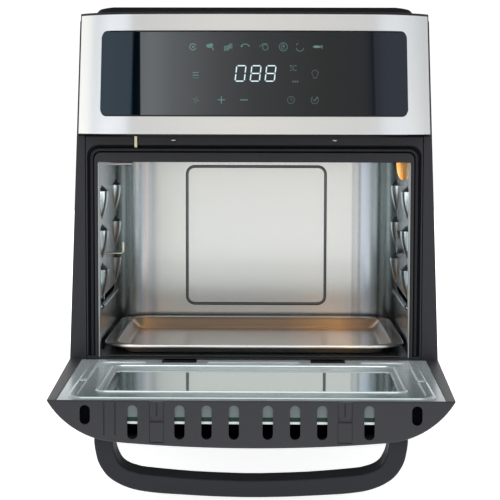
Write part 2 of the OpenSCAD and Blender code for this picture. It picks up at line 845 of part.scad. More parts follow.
module door_screws() {
  color([0.85, 0.85, 0.86])
  for (s = [-1, 1]) {
    translate([s * 139.4, -117, door_z - 6]) cylinder(r = 1.5, h = 5.7);
    translate([s * 139.4, -117, door_z - 0.38]) cylinder(r = 3.6, h = 0.9);
  }
}

// Half of the handle's outline from its lowest point round to the inner edge.
handle_points = [[7, -77.4], [30, -76.8], [54.8, -75.5], [72, -74.4], [87.2, -72.4],
  [97.5, -69.4], [105.7, -65.3], [111.3, -60.9], [115.5, -55.4], [118.6, -49.2],
  [120.3, -42], [handle_half, -35], [handle_half - 0.3, -20], [106.2, -20],
  [106.6, -35.7], [105.8, -41.4], [103.9, -46.7], [100.8, -51.8], [95.8, -55.3],
  [89.6, -57.4], [80.7, -59.1], [44, -62.3], [7, -63.7]];

module door_handle() {
  color([0.2, 0.2, 0.22])
  difference() {
    along_y(-handle_y, handle_w) translate([0, door_z])
      polygon(concat(handle_points, bulge_flip(handle_points)));
    door_block(0, door_len + 1, door_gap - 1);
    for (s = [-1, 1]) translate([s * 113, -196, 38]) cylinder(r = 1.9, h = 30);
  }
}

module handle_screws() {
  color([0.75, 0.75, 0.76])
  for (s = [-1, 1]) {
    translate([s * 113, -196, 39]) cylinder(r = 1.8, h = 16.5);
    translate([s * 113, -196, 55.4]) cylinder(r = 3.6, h = 2);
  }
}

module pan(half, len, z0, z1, inset, r) {
  hull() {
    translate([0, 0, z0]) linear_extrude(0.01)
      round_rect(2 * (half - inset), len - 2 * inset, r - 4);
    translate([0, 0, z1 - 0.01]) linear_extrude(0.01) round_rect(2 * half, len, r);
  }
}

module rim_quarter(x, y, r, tube, a) {
  translate([x, y, 0]) rotate([0, 0, a]) rotate_extrude(angle = 90)
    translate([r, 0]) circle(tube, $fn = 20);
}

module drip_tray() {
  z0 = door_z + 0.8;
  top = z0 + tray_h;
  ri = 1.5;
  cr = 25;
  a = tray_half - ri;
  b = tray_len / 2 - ri;
  color([0.6, 0.6, 0.6])
  translate([0, 9 + tray_len / 2, 0]) union() {
    difference() {
      pan(tray_half - tray_flange + 0.8, tray_len - 2 * tray_flange + 1.6, z0, top, 8, 22);
      pan(tray_half - tray_flange, tray_len - 2 * tray_flange, z0 + 0.8, top + 0.1, 8, 21);
    }
    translate([0, 0, top - 1.2]) linear_extrude(0.8) difference() {
      round_rect(2 * a, 2 * b, cr);
      round_rect(2 * (tray_half - tray_flange) + 0.6, tray_len - 2 * tray_flange + 0.6, 21);
    }
    translate([0, 0, top - ri]) {
      for (s = [-1, 1]) {
        rod_x(ri, -a + cr, a - cr, s * b, 0);
        rod_y(ri, -b + cr, b - cr, s * a, 0);
      }
      rim_quarter(a - cr, b - cr, cr, ri, 0);
      rim_quarter(-a + cr, b - cr, cr, ri, 90);
      rim_quarter(-a + cr, -b + cr, cr, ri, 180);
      rim_quarter(a - cr, -b + cr, cr, ri, 270);
    }
  }
}

translate([0, shift_y, 0]) {
  outer_shell();
  base_plate();
  foot_front_left();
  foot_front_right();
  foot_rear_left();
  foot_rear_right();
  rear_cover();
  cord_gland();
  rear_screws();
  top_cover();
  front_frame();
  door_gasket();
  front_bulkhead();
  fascia();
  fascia_trim();
  fascia_carrier();
  control_glass();
  display_module();
  touch_board();
  touch_springs();
  cavity_wrap();
  cavity_floor();
  cavity_top();
  fan_guard();
  heating_element();
  element_clips();
  rotisserie_support();
  rotisserie_motor();
  drive_socket();
  lamp_lens();
  lamp_bulb();
  lamp_socket();
  temperature_probe();
  heat_shield();
  motor_stator();
  motor_bracket();
  motor_shaft();
  hot_fan();
  cooling_fan();
  fan_shroud();
  power_board();
  door_switch();
  switch_lever();
  magnet_studs();
  hinge_bracket_left();
  hinge_bracket_right();
  hinge_pin_left();
  hinge_pin_right();
  door_frame();
  door_inner_panel();
  door_inner_glass();
  door_middle_glass();
  door_glass_seal();
  door_outer_window();
  door_catch_left();
  door_catch_right();
  door_screws();
  door_handle();
  handle_screws();
  drip_tray();
}
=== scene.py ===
import bpy
import bmesh
import math
from mathutils import Matrix, Vector


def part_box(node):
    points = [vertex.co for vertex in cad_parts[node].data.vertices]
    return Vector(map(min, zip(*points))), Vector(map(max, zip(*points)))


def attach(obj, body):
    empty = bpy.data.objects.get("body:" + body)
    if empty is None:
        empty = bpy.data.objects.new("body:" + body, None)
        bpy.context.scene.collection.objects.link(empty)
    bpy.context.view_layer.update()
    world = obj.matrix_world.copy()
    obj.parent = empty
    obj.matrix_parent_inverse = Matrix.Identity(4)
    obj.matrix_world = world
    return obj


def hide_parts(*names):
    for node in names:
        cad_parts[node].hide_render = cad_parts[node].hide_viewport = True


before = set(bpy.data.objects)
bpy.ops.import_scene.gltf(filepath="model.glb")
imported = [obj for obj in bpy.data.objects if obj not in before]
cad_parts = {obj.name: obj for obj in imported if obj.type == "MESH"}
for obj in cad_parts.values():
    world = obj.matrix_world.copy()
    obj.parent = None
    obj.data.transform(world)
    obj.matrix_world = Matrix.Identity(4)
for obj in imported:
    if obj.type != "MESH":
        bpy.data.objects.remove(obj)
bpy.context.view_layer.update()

# Distances below are millimetres: across, behind the front frame's face, and above the table.
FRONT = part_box("front_frame")[0][1]
SIDES = (-1, 1)


def at(p):
    return Vector((p[0] * 0.001, FRONT + p[1] * 0.001, p[2] * 0.001))


def mm(node):
    """The two corners of a CAD node's box, in the millimetres used here."""
    lo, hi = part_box(node)
    return [Vector((c[0] * 1000, (c[1] - FRONT) * 1000, c[2] * 1000)) for c in (lo, hi)]


def lerp(a, b, t):
    return a + (b - a) * t


# ---------------------------------------------------------------- materials
def new_material(name, color, rough, metal=0.0, ior=1.5):
    m = bpy.data.materials.new(name)
    m.use_nodes = True
    b = m.node_tree.nodes["Principled BSDF"]
    b.inputs["Base Color"].default_value = (*color, 1)
    b.inputs["Roughness"].default_value = rough
    b.inputs["Metallic"].default_value = metal
    b.inputs["IOR"].default_value = ior
    return m, b


RELIEF = 0.0004  # metres of height in the noise's bumps
SMOOTHEST = 0.02  # no finish gets a lower roughness


def surface(name, color, rough, metal, grain=900, spread=0.08, bump=0.1, ior=1.5):
    """A finish whose roughness and relief come from noise, finer and stretched by grain."""
    m, b = new_material(name, color, rough, metal, ior)
    t = m.node_tree
    coords = t.nodes.new("ShaderNodeTexCoord")
    mapping = t.nodes.new("ShaderNodeMapping")
    mapping.inputs["Scale"].default_value = grain if isinstance(grain, tuple) else (grain,) * 3
    noise = t.nodes.new("ShaderNodeTexNoise")
    noise.inputs["Scale"].default_value = 1.0
    noise.inputs["Detail"].default_value = 3.0
    remap = t.nodes.new("ShaderNodeMapRange")
    remap.inputs["To Min"].default_value = max(SMOOTHEST, rough - spread)
    remap.inputs["To Max"].default_value = rough + spread
    height = t.nodes.new("ShaderNodeBump")
    height.inputs["Strength"].default_value = bump
    height.inputs["Distance"].default_value = RELIEF
    t.links.new(coords.outputs["Object"], mapping.inputs["Vector"])
    t.links.new(mapping.outputs["Vector"], noise.inputs["Vector"])
    t.links.new(noise.outputs["Fac"], remap.inputs["Value"])
    t.links.new(remap.outputs["Result"], b.inputs["Roughness"])
    t.links.new(noise.outputs["Fac"], height.inputs["Height"])
    t.links.new(height.outputs["Normal"], b.inputs["Normal"])
    return m


def glow(name, color, strength, base=(0.02, 0.02, 0.02)):
    m, b = new_material(name, base, 0.4)
    b.inputs["Emission Color"].default_value = (*color, 1)
    b.inputs["Emission Strength"].default_value = strength
    return m


def add_shade(m, axis, stops):
    """Colours the base along an object axis, by (metres, colour), over any earlier colouring."""
    t = m.node_tree
    b = t.nodes["Principled BSDF"]
    start, end = stops[0][0], stops[-1][0]
    coords = t.nodes.new("ShaderNodeTexCoord")
    split = t.nodes.new("ShaderNodeSeparateXYZ")
    remap = t.nodes.new("ShaderNodeMapRange")
    remap.inputs["From Min"].default_value = start
    remap.inputs["From Max"].default_value = end
    ramp = t.nodes.new("ShaderNodeValToRGB")
    e = ramp.color_ramp.elements
    e[0].color, e[1].color = (*stops[0][1], 1), (*stops[-1][1], 1)
    for x, c in stops[1:-1]:
        e.new((x - start) / (end - start)).color = (*c, 1)
    t.links.new(coords.outputs["Object"], split.inputs["Vector"])
    t.links.new(split.outputs[axis], remap.inputs["Value"])
    t.links.new(remap.outputs["Result"], ramp.inputs["Fac"])
    out = ramp.outputs["Color"]
    if b.inputs["Base Color"].is_linked:
        mix = t.nodes.new("ShaderNodeMix")
        mix.data_type, mix.blend_type = "RGBA", "MULTIPLY"
        mix.inputs["Factor"].default_value = 1.0
        t.links.new(b.inputs["Base Color"].links[0].from_socket, mix.inputs["A"])
        t.links.new(out, mix.inputs["B"])
        out = mix.outputs["Result"]
    t.links.new(out, b.inputs["Base Color"])


# name, colour, roughness, metal, and what differs from surface's defaults
FINISHES = (
    ("charcoal", (0.019, 0.019, 0.022), 0.46, 0, dict(grain=1400, bump=0.16, ior=1.38)),
    ("handle_charcoal", (0.012, 0.0125, 0.0155), 0.5, 0, dict(grain=1300, bump=0.12, ior=1.3)),
    ("gloss_black", (0.012, 0.012, 0.013), 0.3, 0, dict(grain=60, spread=0.02, bump=0, ior=1.2)),
    ("black_trim", (0.01, 0.01, 0.011), 0.45, 0, dict(ior=1.35)),
    ("silicone", (0.008, 0.008, 0.009), 0.42, 0, dict(grain=500, ior=1.35)),
    ("rubber_black", (0.015, 0.015, 0.015), 0.7, 0, {}),
    ("fascia_steel", (0.86, 0.855, 0.83), 0.3, 1,
     dict(grain=(2600, 2600, 26), spread=0.05, bump=0.04)),
    ("cavity_steel", (0.8, 0.825, 0.825), 0.21, 1,
     dict(grain=(300, 300, 6), spread=0.02, bump=0.003)),
    ("shaded_steel", (0.3, 0.325, 0.34), 0.45, 1, dict(grain=300, bump=0.02)),
    ("shadow_steel", (0.05, 0.06, 0.06), 0.5, 0.7, dict(grain=300, bump=0.02)),
    ("liner_edge", (0.5, 0.54, 0.53), 0.3, 0.85, dict(grain=(300, 300, 6), spread=0.02, bump=0)),
    ("hook_steel", (0.78, 0.72, 0.58), 0.2, 1, dict(bump=0.03)),
    ("bead_shade_steel", (0.2, 0.21, 0.21), 0.35, 1, dict(grain=300)),
    ("guard_steel", (0.3, 0.31, 0.32), 0.32, 1, dict(grain=300, bump=0.02)),
    ("tray_steel", (0.47, 0.455, 0.435), 0.22, 0.64,
     dict(grain=(30, 900, 900), spread=0.04, bump=0.01)),
    ("door_sheet", (0.55, 0.62, 0.625), 0.25, 0.7, dict(grain=(12, 60, 60), spread=0.02, bump=0)),
    ("fold_shade_sheet", (0.12, 0.145, 0.14), 0.4, 0.7, dict(grain=(300, 300, 20), spread=0.03, bump=0)),
    ("zinc_sheet", (0.55, 0.56, 0.57), 0.36, 1, dict(grain=90, bump=0.02)),
    ("hinge_steel", (0.006, 0.006, 0.007), 0.55, 0, dict(grain=700, ior=1.25)),
    ("screw_steel", (0.9, 0.9, 0.91), 0.25, 0.8, dict(bump=0.03)),
    ("stud_steel", (0.45, 0.45, 0.45), 0.35, 1, dict(bump=0.02)),
    ("brass_pale", (0.78, 0.66, 0.36), 0.28, 1, dict(bump=0.03)),
    ("element_sheath", (0.2, 0.19, 0.18), 0.5, 1, dict(grain=500)),
    ("fan_aluminium", (0.7, 0.7, 0.71), 0.35, 1, dict(grain=500, bump=0.05)),
    ("motor_iron", (0.16, 0.14, 0.13), 0.55, 0.8, dict(grain=(40, 40, 1800), bump=0.3)),
    ("panel_glass", (0.012, 0.012, 0.014), 0.05, 0, dict(grain=40, spread=0.01, bump=0)),
    ("window_glass", (0.58, 0.66, 0.655), 0.05, 0.92, dict(grain=30, spread=0.01, bump=0.002)),
    ("outer_glass", (0.012, 0.013, 0.015), 0.06, 0, dict(grain=40, spread=0.01, bump=0, ior=1.6)),
    ("edge_glass", (0.003, 0.04, 0.03), 0.3, 0, dict(grain=60, spread=0.02, bump=0, ior=1.25)),
    ("ceramic_white", (0.8, 0.79, 0.75), 0.6, 0, dict(grain=700)),
    ("display", (0.03, 0.035, 0.035), 0.5, 0, {}),
    ("circuit_green", (0.03, 0.16, 0.07), 0.4, 0, dict(grain=300)),
    ("circuit_brown", (0.2, 0.13, 0.06), 0.5, 0, dict(grain=300)),
    ("switch_cream", (0.86, 0.78, 0.5), 0.4, 0, dict(grain=600)),
    ("seal_white", (0.85, 0.86, 0.85), 0.7, 0, dict(grain=600)),
    ("shade_black", (0.002, 0.002, 0.0025), 0.9, 0, dict(ior=1.05)),
)
MAT = {name: surface(name, *look, **more) for name, *look, more in FINISHES}
MAT["display_lit"] = glow("display_lit", (0.72, 0.93, 1.0), 1.0)
MAT["icon_lit"] = glow("icon_lit", (0.26, 0.56, 0.52), 0.34)
MAT["icon_dim"] = glow("icon_dim", (0.2, 0.38, 0.35), 0.27)
MAT["lamp_glow"] = glow("lamp_glow", (1.0, 0.62, 0.25), 1.2, (0.9, 0.6, 0.3))
MAT["lamp_glass"] = glow("lamp_glass", (1.0, 0.5, 0.14), 0.15, (0.42, 0.25, 0.08))

# Colours painted along the pieces, for the studio's light and reflections in them
PLAIN = (1.0, 1.0, 1.0)
# control glass, left to right: painted reflections of the studio, a black band near the left end
# and light fading toward the right
add_shade(MAT["panel_glass"], "X", (
    (-0.13, (0.003, 0.014, 0.024)),
    (-0.1055, (0.003, 0.013, 0.022)),
    (-0.1045, (0.0, 0.002, 0.004)),
    (-0.0985, (0.0, 0.002, 0.004)),
    (-0.0975, (0.1, 0.106, 0.11)),
    (-0.07, (0.058, 0.063, 0.066)),
    (-0.03, (0.026, 0.029, 0.031)),
    (0.0, (0.012, 0.015, 0.017)),
    (0.06, (0.003, 0.005, 0.006)),
    (0.1, (0.001, 0.003, 0.006)),
    (0.13, (0.002, 0.006, 0.014)),
))
TRAY_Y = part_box("drip_tray")[0][1]
# drip tray, front to back: a painted highlight on the rolled front rim, painted shade over the
# flange and floor, and a painted warm glow of the lamp on the back wall
add_shade(MAT["tray_steel"], "Y", [(TRAY_Y + behind, c) for behind, c in (
    (0.0, (0.98, 0.98, 0.96)),
    (0.0032, (0.95, 0.95, 0.93)),
    (0.0046, (0.36, 0.345, 0.33)),
    (0.02, (0.36, 0.33, 0.3)),
    (0.13, (0.35, 0.3, 0.26)),
    (0.176, (0.4, 0.32, 0.26)),
    (0.186, (1.0, 0.76, 0.55)),
    (0.2, (0.98, 0.74, 0.52)),
    (0.204, (0.36, 0.34, 0.33)),
    (0.22, (0.34, 0.33, 0.32)),
)])
# drip tray, across: painted warm reflections of the lamp near each side, and painted shade at both
# ends
add_shade(MAT["tray_steel"], "X", (
    (-0.126, (0.55, 0.54, 0.54)),
    (-0.118, (0.9, 0.85, 0.8)),
    (-0.113, (1.9, 1.5, 1.15)),
    (-0.1, (1.3, 1.15, 1.05)),
    (-0.085, PLAIN),
    (0.03, PLAIN),
    (0.055, (1.5, 1.22, 1.0)),
    (0.085, (2.1, 1.55, 1.05)),
    (0.1, (1.2, 1.05, 0.95)),
    (0.115, (0.85, 0.84, 0.83)),
    (0.126, (0.55, 0.54, 0.54)),
))
# door's inner panel: painted shade darkening it toward the free edge, painted light toward the
# hinge
add_shade(MAT["door_sheet"], "Y", (
    (FRONT - 0.211, (0.26, 0.305, 0.31)),
    (FRONT - 0.16, (0.38, 0.44, 0.445)),
    (FRONT - 0.06, (0.7, 0.79, 0.8)),
    (FRONT - 0.004, (0.88, 0.97, 0.98)),
))
# cavity, across: painted shade in the rounded rear corners and along the side walls, thin painted
# highlight and shade lines, and a faint painted warm tint from the lamp
add_shade(MAT["cavity_steel"], "X", (
    (-0.1404, (0.78, 0.82, 0.815)),
    (-0.1396, (0.5, 0.54, 0.54)),
    (-0.13, (0.48, 0.52, 0.52)),
    (-0.127, (0.8, 0.845, 0.84)),
    (-0.121, (0.54, 0.57, 0.57)),
    (-0.1155, (0.54, 0.55, 0.55)),
    (-0.113, (0.7, 0.6, 0.52)),
    (-0.1105, (0.57, 0.58, 0.58)),
    (-0.098, (0.76, 0.785, 0.78)),
    (-0.06, (0.88, 0.905, 0.905)),
    (0.0985, (0.95, 0.965, 0.965)),
    (0.0995, (0.68, 0.71, 0.735)),
    (0.108, (0.68, 0.71, 0.735)),
    (0.116, (0.5, 0.535, 0.55)),
    (0.1245, (0.45, 0.5, 0.5)),
    (0.126, (0.26, 0.29, 0.29)),
    (0.1275, (0.56, 0.61, 0.61)),
    (0.1396, (0.5, 0.55, 0.55)),
    (0.1404, (0.78, 0.82, 0.815)),
))


# ---------------------------------------------------------------- mesh tools
def shade(me, angle):
    """Smooth shading with every edge sharper than angle kept crisp."""
    bm = bmesh.new()
    bm.from_mesh(me)
    for f in bm.faces:
        f.smooth = True
    for e in bm.edges:
        e.smooth = len(e.link_faces) == 2 and e.calc_face_angle(0) < math.radians(angle)
    bm.to_mesh(me)
    bm.free()


def mesh(name, verts, faces):
    me = bpy.data.meshes.new(name)
    me.from_pydata([at(v) for v in verts], [], faces)
    o = bpy.data.objects.new(name, me)
    bpy.context.scene.collection.objects.link(o)
    bm = bmesh.new()
    bm.from_mesh(me)
    bmesh.ops.recalc_face_normals(bm, faces=bm.faces)
    bm.to_mesh(me)
    bm.free()
    return o


def finish_piece(o, mat, body="oven", replaces=(), angle=30, flat=True):
    """Shades and paints a piece, attaches it to its body and hides the CAD parts it replaces. flat
    keeps its broad faces from bending the light.
    """
    shade(o.data, angle)
    if flat:
        o.modifiers.new("normals", "WEIGHTED_NORMAL").keep_sharp = True
    o.data.materials.clear()
    o.data.materials.append(MAT[mat])
    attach(o, body)
    if replaces:
        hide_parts(*replaces)


def rings(loops, cap=True, closed=True):
    """Joins loops of equal length into a skin, with an n-gon over each end when cap is set."""
    n = len(loops[0])
    verts = [p for loop in loops for p in loop]
    faces = []
    for k in range(len(loops) - 1):
        for i in range(n if closed else n - 1):
            j = (i + 1) % n
            faces.append((k * n + i, k * n + j, (k + 1) * n + j, (k + 1) * n + i))
    if cap:
        faces.append(tuple(range(n))[::-1])
        faces.append(tuple((len(loops) - 1) * n + i for i in range(n)))
    return verts, faces


PLACE = {
    "X": lambda p, t: (t, p[0], p[1]),
    "Y": lambda p, t: (p[0], t, p[1]),
    "Z": lambda p, t: (p[0], p[1], t),
}


def prism(points, axis, a, b):
    """An outline made solid along an axis. X outlines are (y, z), Y ones (x, z), Z ones (x, y)."""
    return rings([[PLACE[axis](p, t) for p in points] for t in (a, b)])


def join(*parts):
    verts, faces = [], []
    for v, f in parts:
        base = len(verts)
        verts += v
        faces += [tuple(i + base for i in q) for q in f]
    return verts, faces


def rect(x0, x1, y0, y1):
    return [(x0, y0), (x1, y0), (x1, y1), (x0, y1)]


def mirror_rect(s, x0, x1, y0, y1):
    """The rectangle for s = 1, and its mirror image across x = 0 for s = -1."""
    return rect(*sorted((s * x0, s * x1)), y0, y1)


def polar(cx, cy, r, degrees):
    a = math.radians(degrees)
    return cx + r * math.cos(a), cy + r * math.sin(a)


def round_rect(x0, x1, y0, y1, r, n=8):
    corners = (
        (x1 - r, y0 + r, -90), (x1 - r, y1 - r, 0), (x0 + r, y1 - r, 90), (x0 + r, y0 + r, 180)
    )
    return [polar(cx, cy, r, a + 90 * i / n) for cx, cy, a in corners for i in range(n + 1)]


def oval(cx, cy, rx, ry, n):
    turn = [math.tau * i / n for i in range(n)]
    return [(cx + rx * math.cos(a), cy + ry * math.sin(a)) for a in turn]


def circle(cx, cy, r, n=28):
    return oval(cx, cy, r, r, n)


def settle(o):
    """Turns the modifiers into plain mesh."""
    depsgraph = bpy.context.evaluated_depsgraph_get()
    me = bpy.data.meshes.new_from_object(o.evaluated_get(depsgraph))
    old, o.data = o.data, me
    o.modifiers.clear()
    bpy.data.meshes.remove(old)


def combine(o, tool, op):
    """Applies one boolean to o with another object, which is used up."""
    m = o.modifiers.new("cut", "BOOLEAN")
    m.operation, m.solver, m.object = op, "EXACT", tool
    settle(o)
    bpy.data.objects.remove(tool)


def carve(o, *solids, op="DIFFERENCE"):
    """Cuts, meets or joins o with closed solids, one after the other."""
    for k, solid in enumerate(solids):
        combine(o, mesh(f"cutter_{k}", *solid), op)


def soften(o, width, segments=2, angle=35):
    """Rounds the edges by a bevel of width millimetres."""
    m = o.modifiers.new("edges", "BEVEL")
    m.width, m.segments = width * 0.001, segments
    m.limit_method, m.angle_limit = "ANGLE", math.radians(angle)
    m.miter_outer = "MITER_ARC"
    m.harden_normals = False
    settle(o)


def thicken(o, width, offset):
    """Gives an open sheet its thickness in millimetres."""
    m = o.modifiers.new("thick", "SOLIDIFY")
    m.thickness, m.offset = width * 0.001, offset
    settle(o)


def smooth_path(points, n=3):
    """Rounds a run of points with a Catmull-Rom spline through them, n steps to each span."""
    out = []
    last_one = len(points) - 1
    for i in range(last_one):
        a, b, c, d = (Vector(points[max(0, min(last_one, i + k))]) for k in (-1, 0, 1, 2))
        for j in range(n):
            t = j / n
            square = (2 * a - 5 * b + 4 * c - d) * t * t
            cube = (3 * b - a - 3 * c + d) * t**3
            out.append(0.5 * ((2 * b) + (c - a) * t + square + cube))
    out.append(Vector(points[-1]))
    return out


def sweep(path, section, closed=False, up=Vector((0, 1, 0))):
    """Carries a section along a path: its first axis sideways, its second along up."""
    n = len(path)
    loops = []
    for i in range(n):
        a = path[(i - 1) % n] if closed or i else path[0]
        b = path[(i + 1) % n] if closed or i < n - 1 else path[-1]
        side = (b - a).normalized().cross(up).normalized()
        stretch = 1.0
        before, after = path[i] - a, b - path[i]
        if min(before.length, after.length) > 1e-6:
            stretch = 1 / math.cos(before.normalized().angle(after.normalized()) / 2)
        loops.append([path[i] + side * s[0] * stretch + up * s[1] for s in section])
    if not closed:
        return rings(loops)
    verts, faces = rings(loops, cap=False)
    m, end = len(section), len(verts) - len(section)
    return verts, faces + [(end + i, end + (i + 1) % m, (i + 1) % m, i) for i in range(m)]


# ---------------------------------------------------------------- shared shapes
# The door and the fascia bulge: a tight arc at each side runs into one wide arc.
ARC_HIGH, ARC_LOW, BULGE_R = math.radians(60), math.radians(5), 66.0
SIDE_RUN = BULGE_R * (math.sin(ARC_HIGH) - math.sin(ARC_LOW))
SIDE_RISE = BULGE_R * (math.cos(ARC_LOW) - math.cos(ARC_HIGH))


def big_radius(w):
    return (w - SIDE_RUN) / math.sin(ARC_LOW)


def bulge(w, e):
    """A bulged outline w to each side, shrunk by e, from left to right: [across, outward]."""
    fine, wide = 22, 28
    left = []
    for i in range(fine + 1):
        t = lerp(ARC_HIGH, ARC_LOW, i / fine)
        left.append((
            -w + BULGE_R * math.sin(ARC_HIGH) - (BULGE_R - e) * math.sin(t),
            (BULGE_R - e) * math.cos(t) - BULGE_R * math.cos(ARC_HIGH),
        ))
    r = big_radius(w)
    for i in range(1, wide + 1):
        t = ARC_LOW * (1 - i / wide)
        left.append((
            -(r - e) * math.sin(t),
            (r - e) * math.cos(t) + SIDE_RISE - r * math.cos(ARC_LOW),
        ))
    return left + [(-x, d) for x, d in left[-2::-1]]


def bulge_block(w0, w1, e, place):
    return rings([[place(p, k) for p in bulge(w, e)] for k, w in enumerate((w0, w1))])


fascia_lo, fascia_hi = mm("fascia")
FZ0, FZ1 = fascia_lo.z, fascia_hi.z
FASCIA_HALF = (157.3, 153.3)  # half the width at FZ0 and at FZ1


def fascia_half(z):
    return lerp(*FASCIA_HALF, (z - FZ0) / (FZ1 - FZ0))


def fascia_front(x, z):
    """How far in front of the frame the fascia's face lies."""
    r = big_radius(fascia_half(z))
    return math.sqrt(r * r - x * x) + SIDE_RISE - r * math.cos(ARC_LOW)


def fascia_block(e, z0, z1):
    ends = (z0, z1)
    return bulge_block(fascia_half(z0), fascia_half(z1), e, lambda p, k: (p[0], -p[1], ends[k]))


def glass_outline(g):
    """The control glass's outline, grown by g."""
    out = []
    corners = ((-128.2, 303.6, 180), (128.2, 303.6, 270), (126.5, 366.7, 0), (-126.5, 366.7, 90))
    for cx, cz, start in corners:
        centre = cx + math.copysign(g, cx), cz + (g if start < 180 else -g)
        out += [polar(*centre, 5, start + 9 * i) for i in range(11)]
    return out


# ---------------------------------------------------------------- body
shell_hi = mm("outer_shell")[1]
DEPTH, TOP = shell_hi.y, shell_hi.z
TOP_R = 6  # radius of the shell's upper edges
WALL = 2.2
OPENING_TOP = 257.7
STUD_X, STUD_Z = 71.5, 277.4
VENT_Z, VENT_R, VENT_RUN = 335, 2.45, 14.5


def body_at(z):
    """Half the body's width, which tapers upward."""
    return 165 - 0.038 * (z - 82)


def body_points(o):
    """The shell seen from the front, o inside its outer face."""
    half = [
        (142 - o, 12 + o), (151 - o, 14.6 + o), (159.5 - o, 18.6 + o / 2), (164 - o, 22.6 + o / 2),
        (165.6 - o, 25.8), (body_at(30) - o, 30), (body_at(TOP - TOP_R) - o, TOP - TOP_R),
    ]
    centre = body_at(TOP) - TOP_R, TOP - TOP_R
    half += [polar(*centre, TOP_R - o, a) for a in range(10, 91, 10)]
    return half + [(-x, z) for x, z in half[::-1]]


def vent_outline(y):
    """An upright slot with round ends."""
    out = []
    for end in (1, -1):
        for j in range(7):
            a = math.radians(lerp(-90, 90, j / 6)) * end
            out.append((y + VENT_R * math.sin(a), VENT_Z + end * (VENT_RUN + VENT_R * math.cos(a))))
    return out


shell = mesh("shell_body", *prism(body_points(0), "Y", 0, DEPTH))
rear_toe = [(DEPTH - 12, 12), (DEPTH - 12, 11), (DEPTH + 1, 11), (DEPTH + 1, 27), (DEPTH, 26)]
carve(
    shell,
    prism([(-1, 11), (24, 11), (24, 12), (0, 30), (-1, 30)], "X", -180, 180),
    prism(rear_toe, "X", -180, 180),
)
soften(shell, 1.6, 3, 22)
carve(
    shell,
    prism(body_points(WALL), "Y", 3, DEPTH + 2),
    prism(rect(-150.3, 150.3, 29.7, TOP - 1.3), "Y", -1, 4),
    prism(rect(-112, 112, 44, 240), "Z", 11, 15.5),
    prism(rect(-118, 118, 24, 244), "Z", TOP - 4, TOP + 2),
)
vent_rows = [vent_outline(72.5 + 15 * i) for i in range(10)]
carve(shell, join(*[prism(v, "X", s * 148, s * 172) for s in SIDES for v in vent_rows]))
finish_piece(shell, "charcoal", replaces=("outer_shell",))

# front frame with the gasket's groove, the hinges' notches, the lever's slot and the studs' beds
frame_lo, frame_hi = mm("front_frame")
face = rect(frame_lo.x, frame_hi.x, frame_lo.z, frame_hi.z)
surround = mesh("front_surround", *prism(face, "Y", 0, frame_hi.y))
carve(surround, prism(round_rect(-139.2, 139.2, 82.1, OPENING_TOP, 1.5), "Y", -1, 20))
soften(surround, 1.5, 3, 30)
groove = mesh("groove", *prism(round_rect(-148.4, 148.4, 60, 272.9, 9.7), "Y", -1, 5))
carve(groove, prism(round_rect(-142, 142, 55, 266, 6), "Y", -2, 7))
carve(groove, prism(rect(-160, 160, 84, 280), "Y", -3, 8), op="INTERSECT")
combine(surround, groove, "DIFFERENCE")
carve(
    surround,
    *[prism(mirror_rect(s, 51.6, 80.4, 70.7, 81.4), "Y", -1, 20) for s in SIDES],
    prism(rect(-106.4, -103.6, 270.6, 280.6), "Y", -1, 20),
    *[prism(oval(s * STUD_X, STUD_Z, 2.5, 1.3, 24), "Y", -1, 5) for s in SIDES],
    prism(round_rect(-144, 144, 36, 60, 3), "Y", 4, 20),
)
finish_piece(surround, "charcoal", replaces=("front_frame",))

# magnet studs: low oval domes in the frame's face
DOME = ((1, 4), (1, 0.4), (0.9, 0.15), (0.6, -0.05), (0.2, -0.15))  # scale, depth
studs = []
for s in SIDES:
    layers = [(oval(s * STUD_X, STUD_Z, 2.2 * k, 1.0 * k, 24), y) for k, y in DOME]
    studs.append(rings([[(x, y, z) for x, z in points] for points, y in layers]))
stud_faces = mesh("stud_faces", *join(*studs))
finish_piece(stud_faces, "stud_steel", replaces=("magnet_studs",), angle=40)

# gasket: a soft lip standing in the groove
path = [Vector((-145.2, 0, 84.6)), Vector((-145.2, 0, 170))]
for a in range(180, 89, -10):
    x, z = polar(-137.2, 261.45, 8, a)
    path.append(Vector((x, 0, z)))
path += [Vector((-q.x, 0, q.z)) for q in path[::-1]]
lip = [
    (-2.9, 4.8), (-2.9, 2.6), (-2.3, 1.3), (-1.1, 0.7), (0.3, 0.9),
    (1.1, 1.9), (1.2, 3.0), (2.0, 3.4), (2.9, 2.7), (2.9, 4.8),
]
gasket = mesh("gasket_lip", *sweep(path, lip))
finish_piece(gasket, "silicone", replaces=("door_gasket",), angle=40, flat=False)

# lid: crowned, with a rounded rim
lid_lo, lid_hi = mm("top_cover")
LID_RIM, LID_RIM_R, LID_CORNER = 8.9, 1.5, 17
CROWN = [  # across, height
    (0, 9.9), (40, 9.7), (80, 9.1), (118, 7.5), (130, 6.3), (136, 5.3), (139, 3.6), (140.5, 1.6),
    (141, 0),
]
INSETS = (
    0, 0.1, 0.3, 0.6, 1, 1.5, 2.2, 3, 4, 5.5, 8, 12, 16, 20, 26, 34, 44, 56, 70, 84, 98, 112, 122
)


def crown(x):
    for (x0, h0), (x1, h1) in zip(CROWN, CROWN[1:]):
        if abs(x) <= x1:
            return lerp(h0, h1, (abs(x) - x0) / (x1 - x0))
    return 0


def lid_outline(inset):
    r = max(LID_CORNER - inset, 0.4)
    return round_rect(lid_lo.x + inset, lid_hi.x - inset, lid_lo.y + inset, lid_hi.y - inset, r)


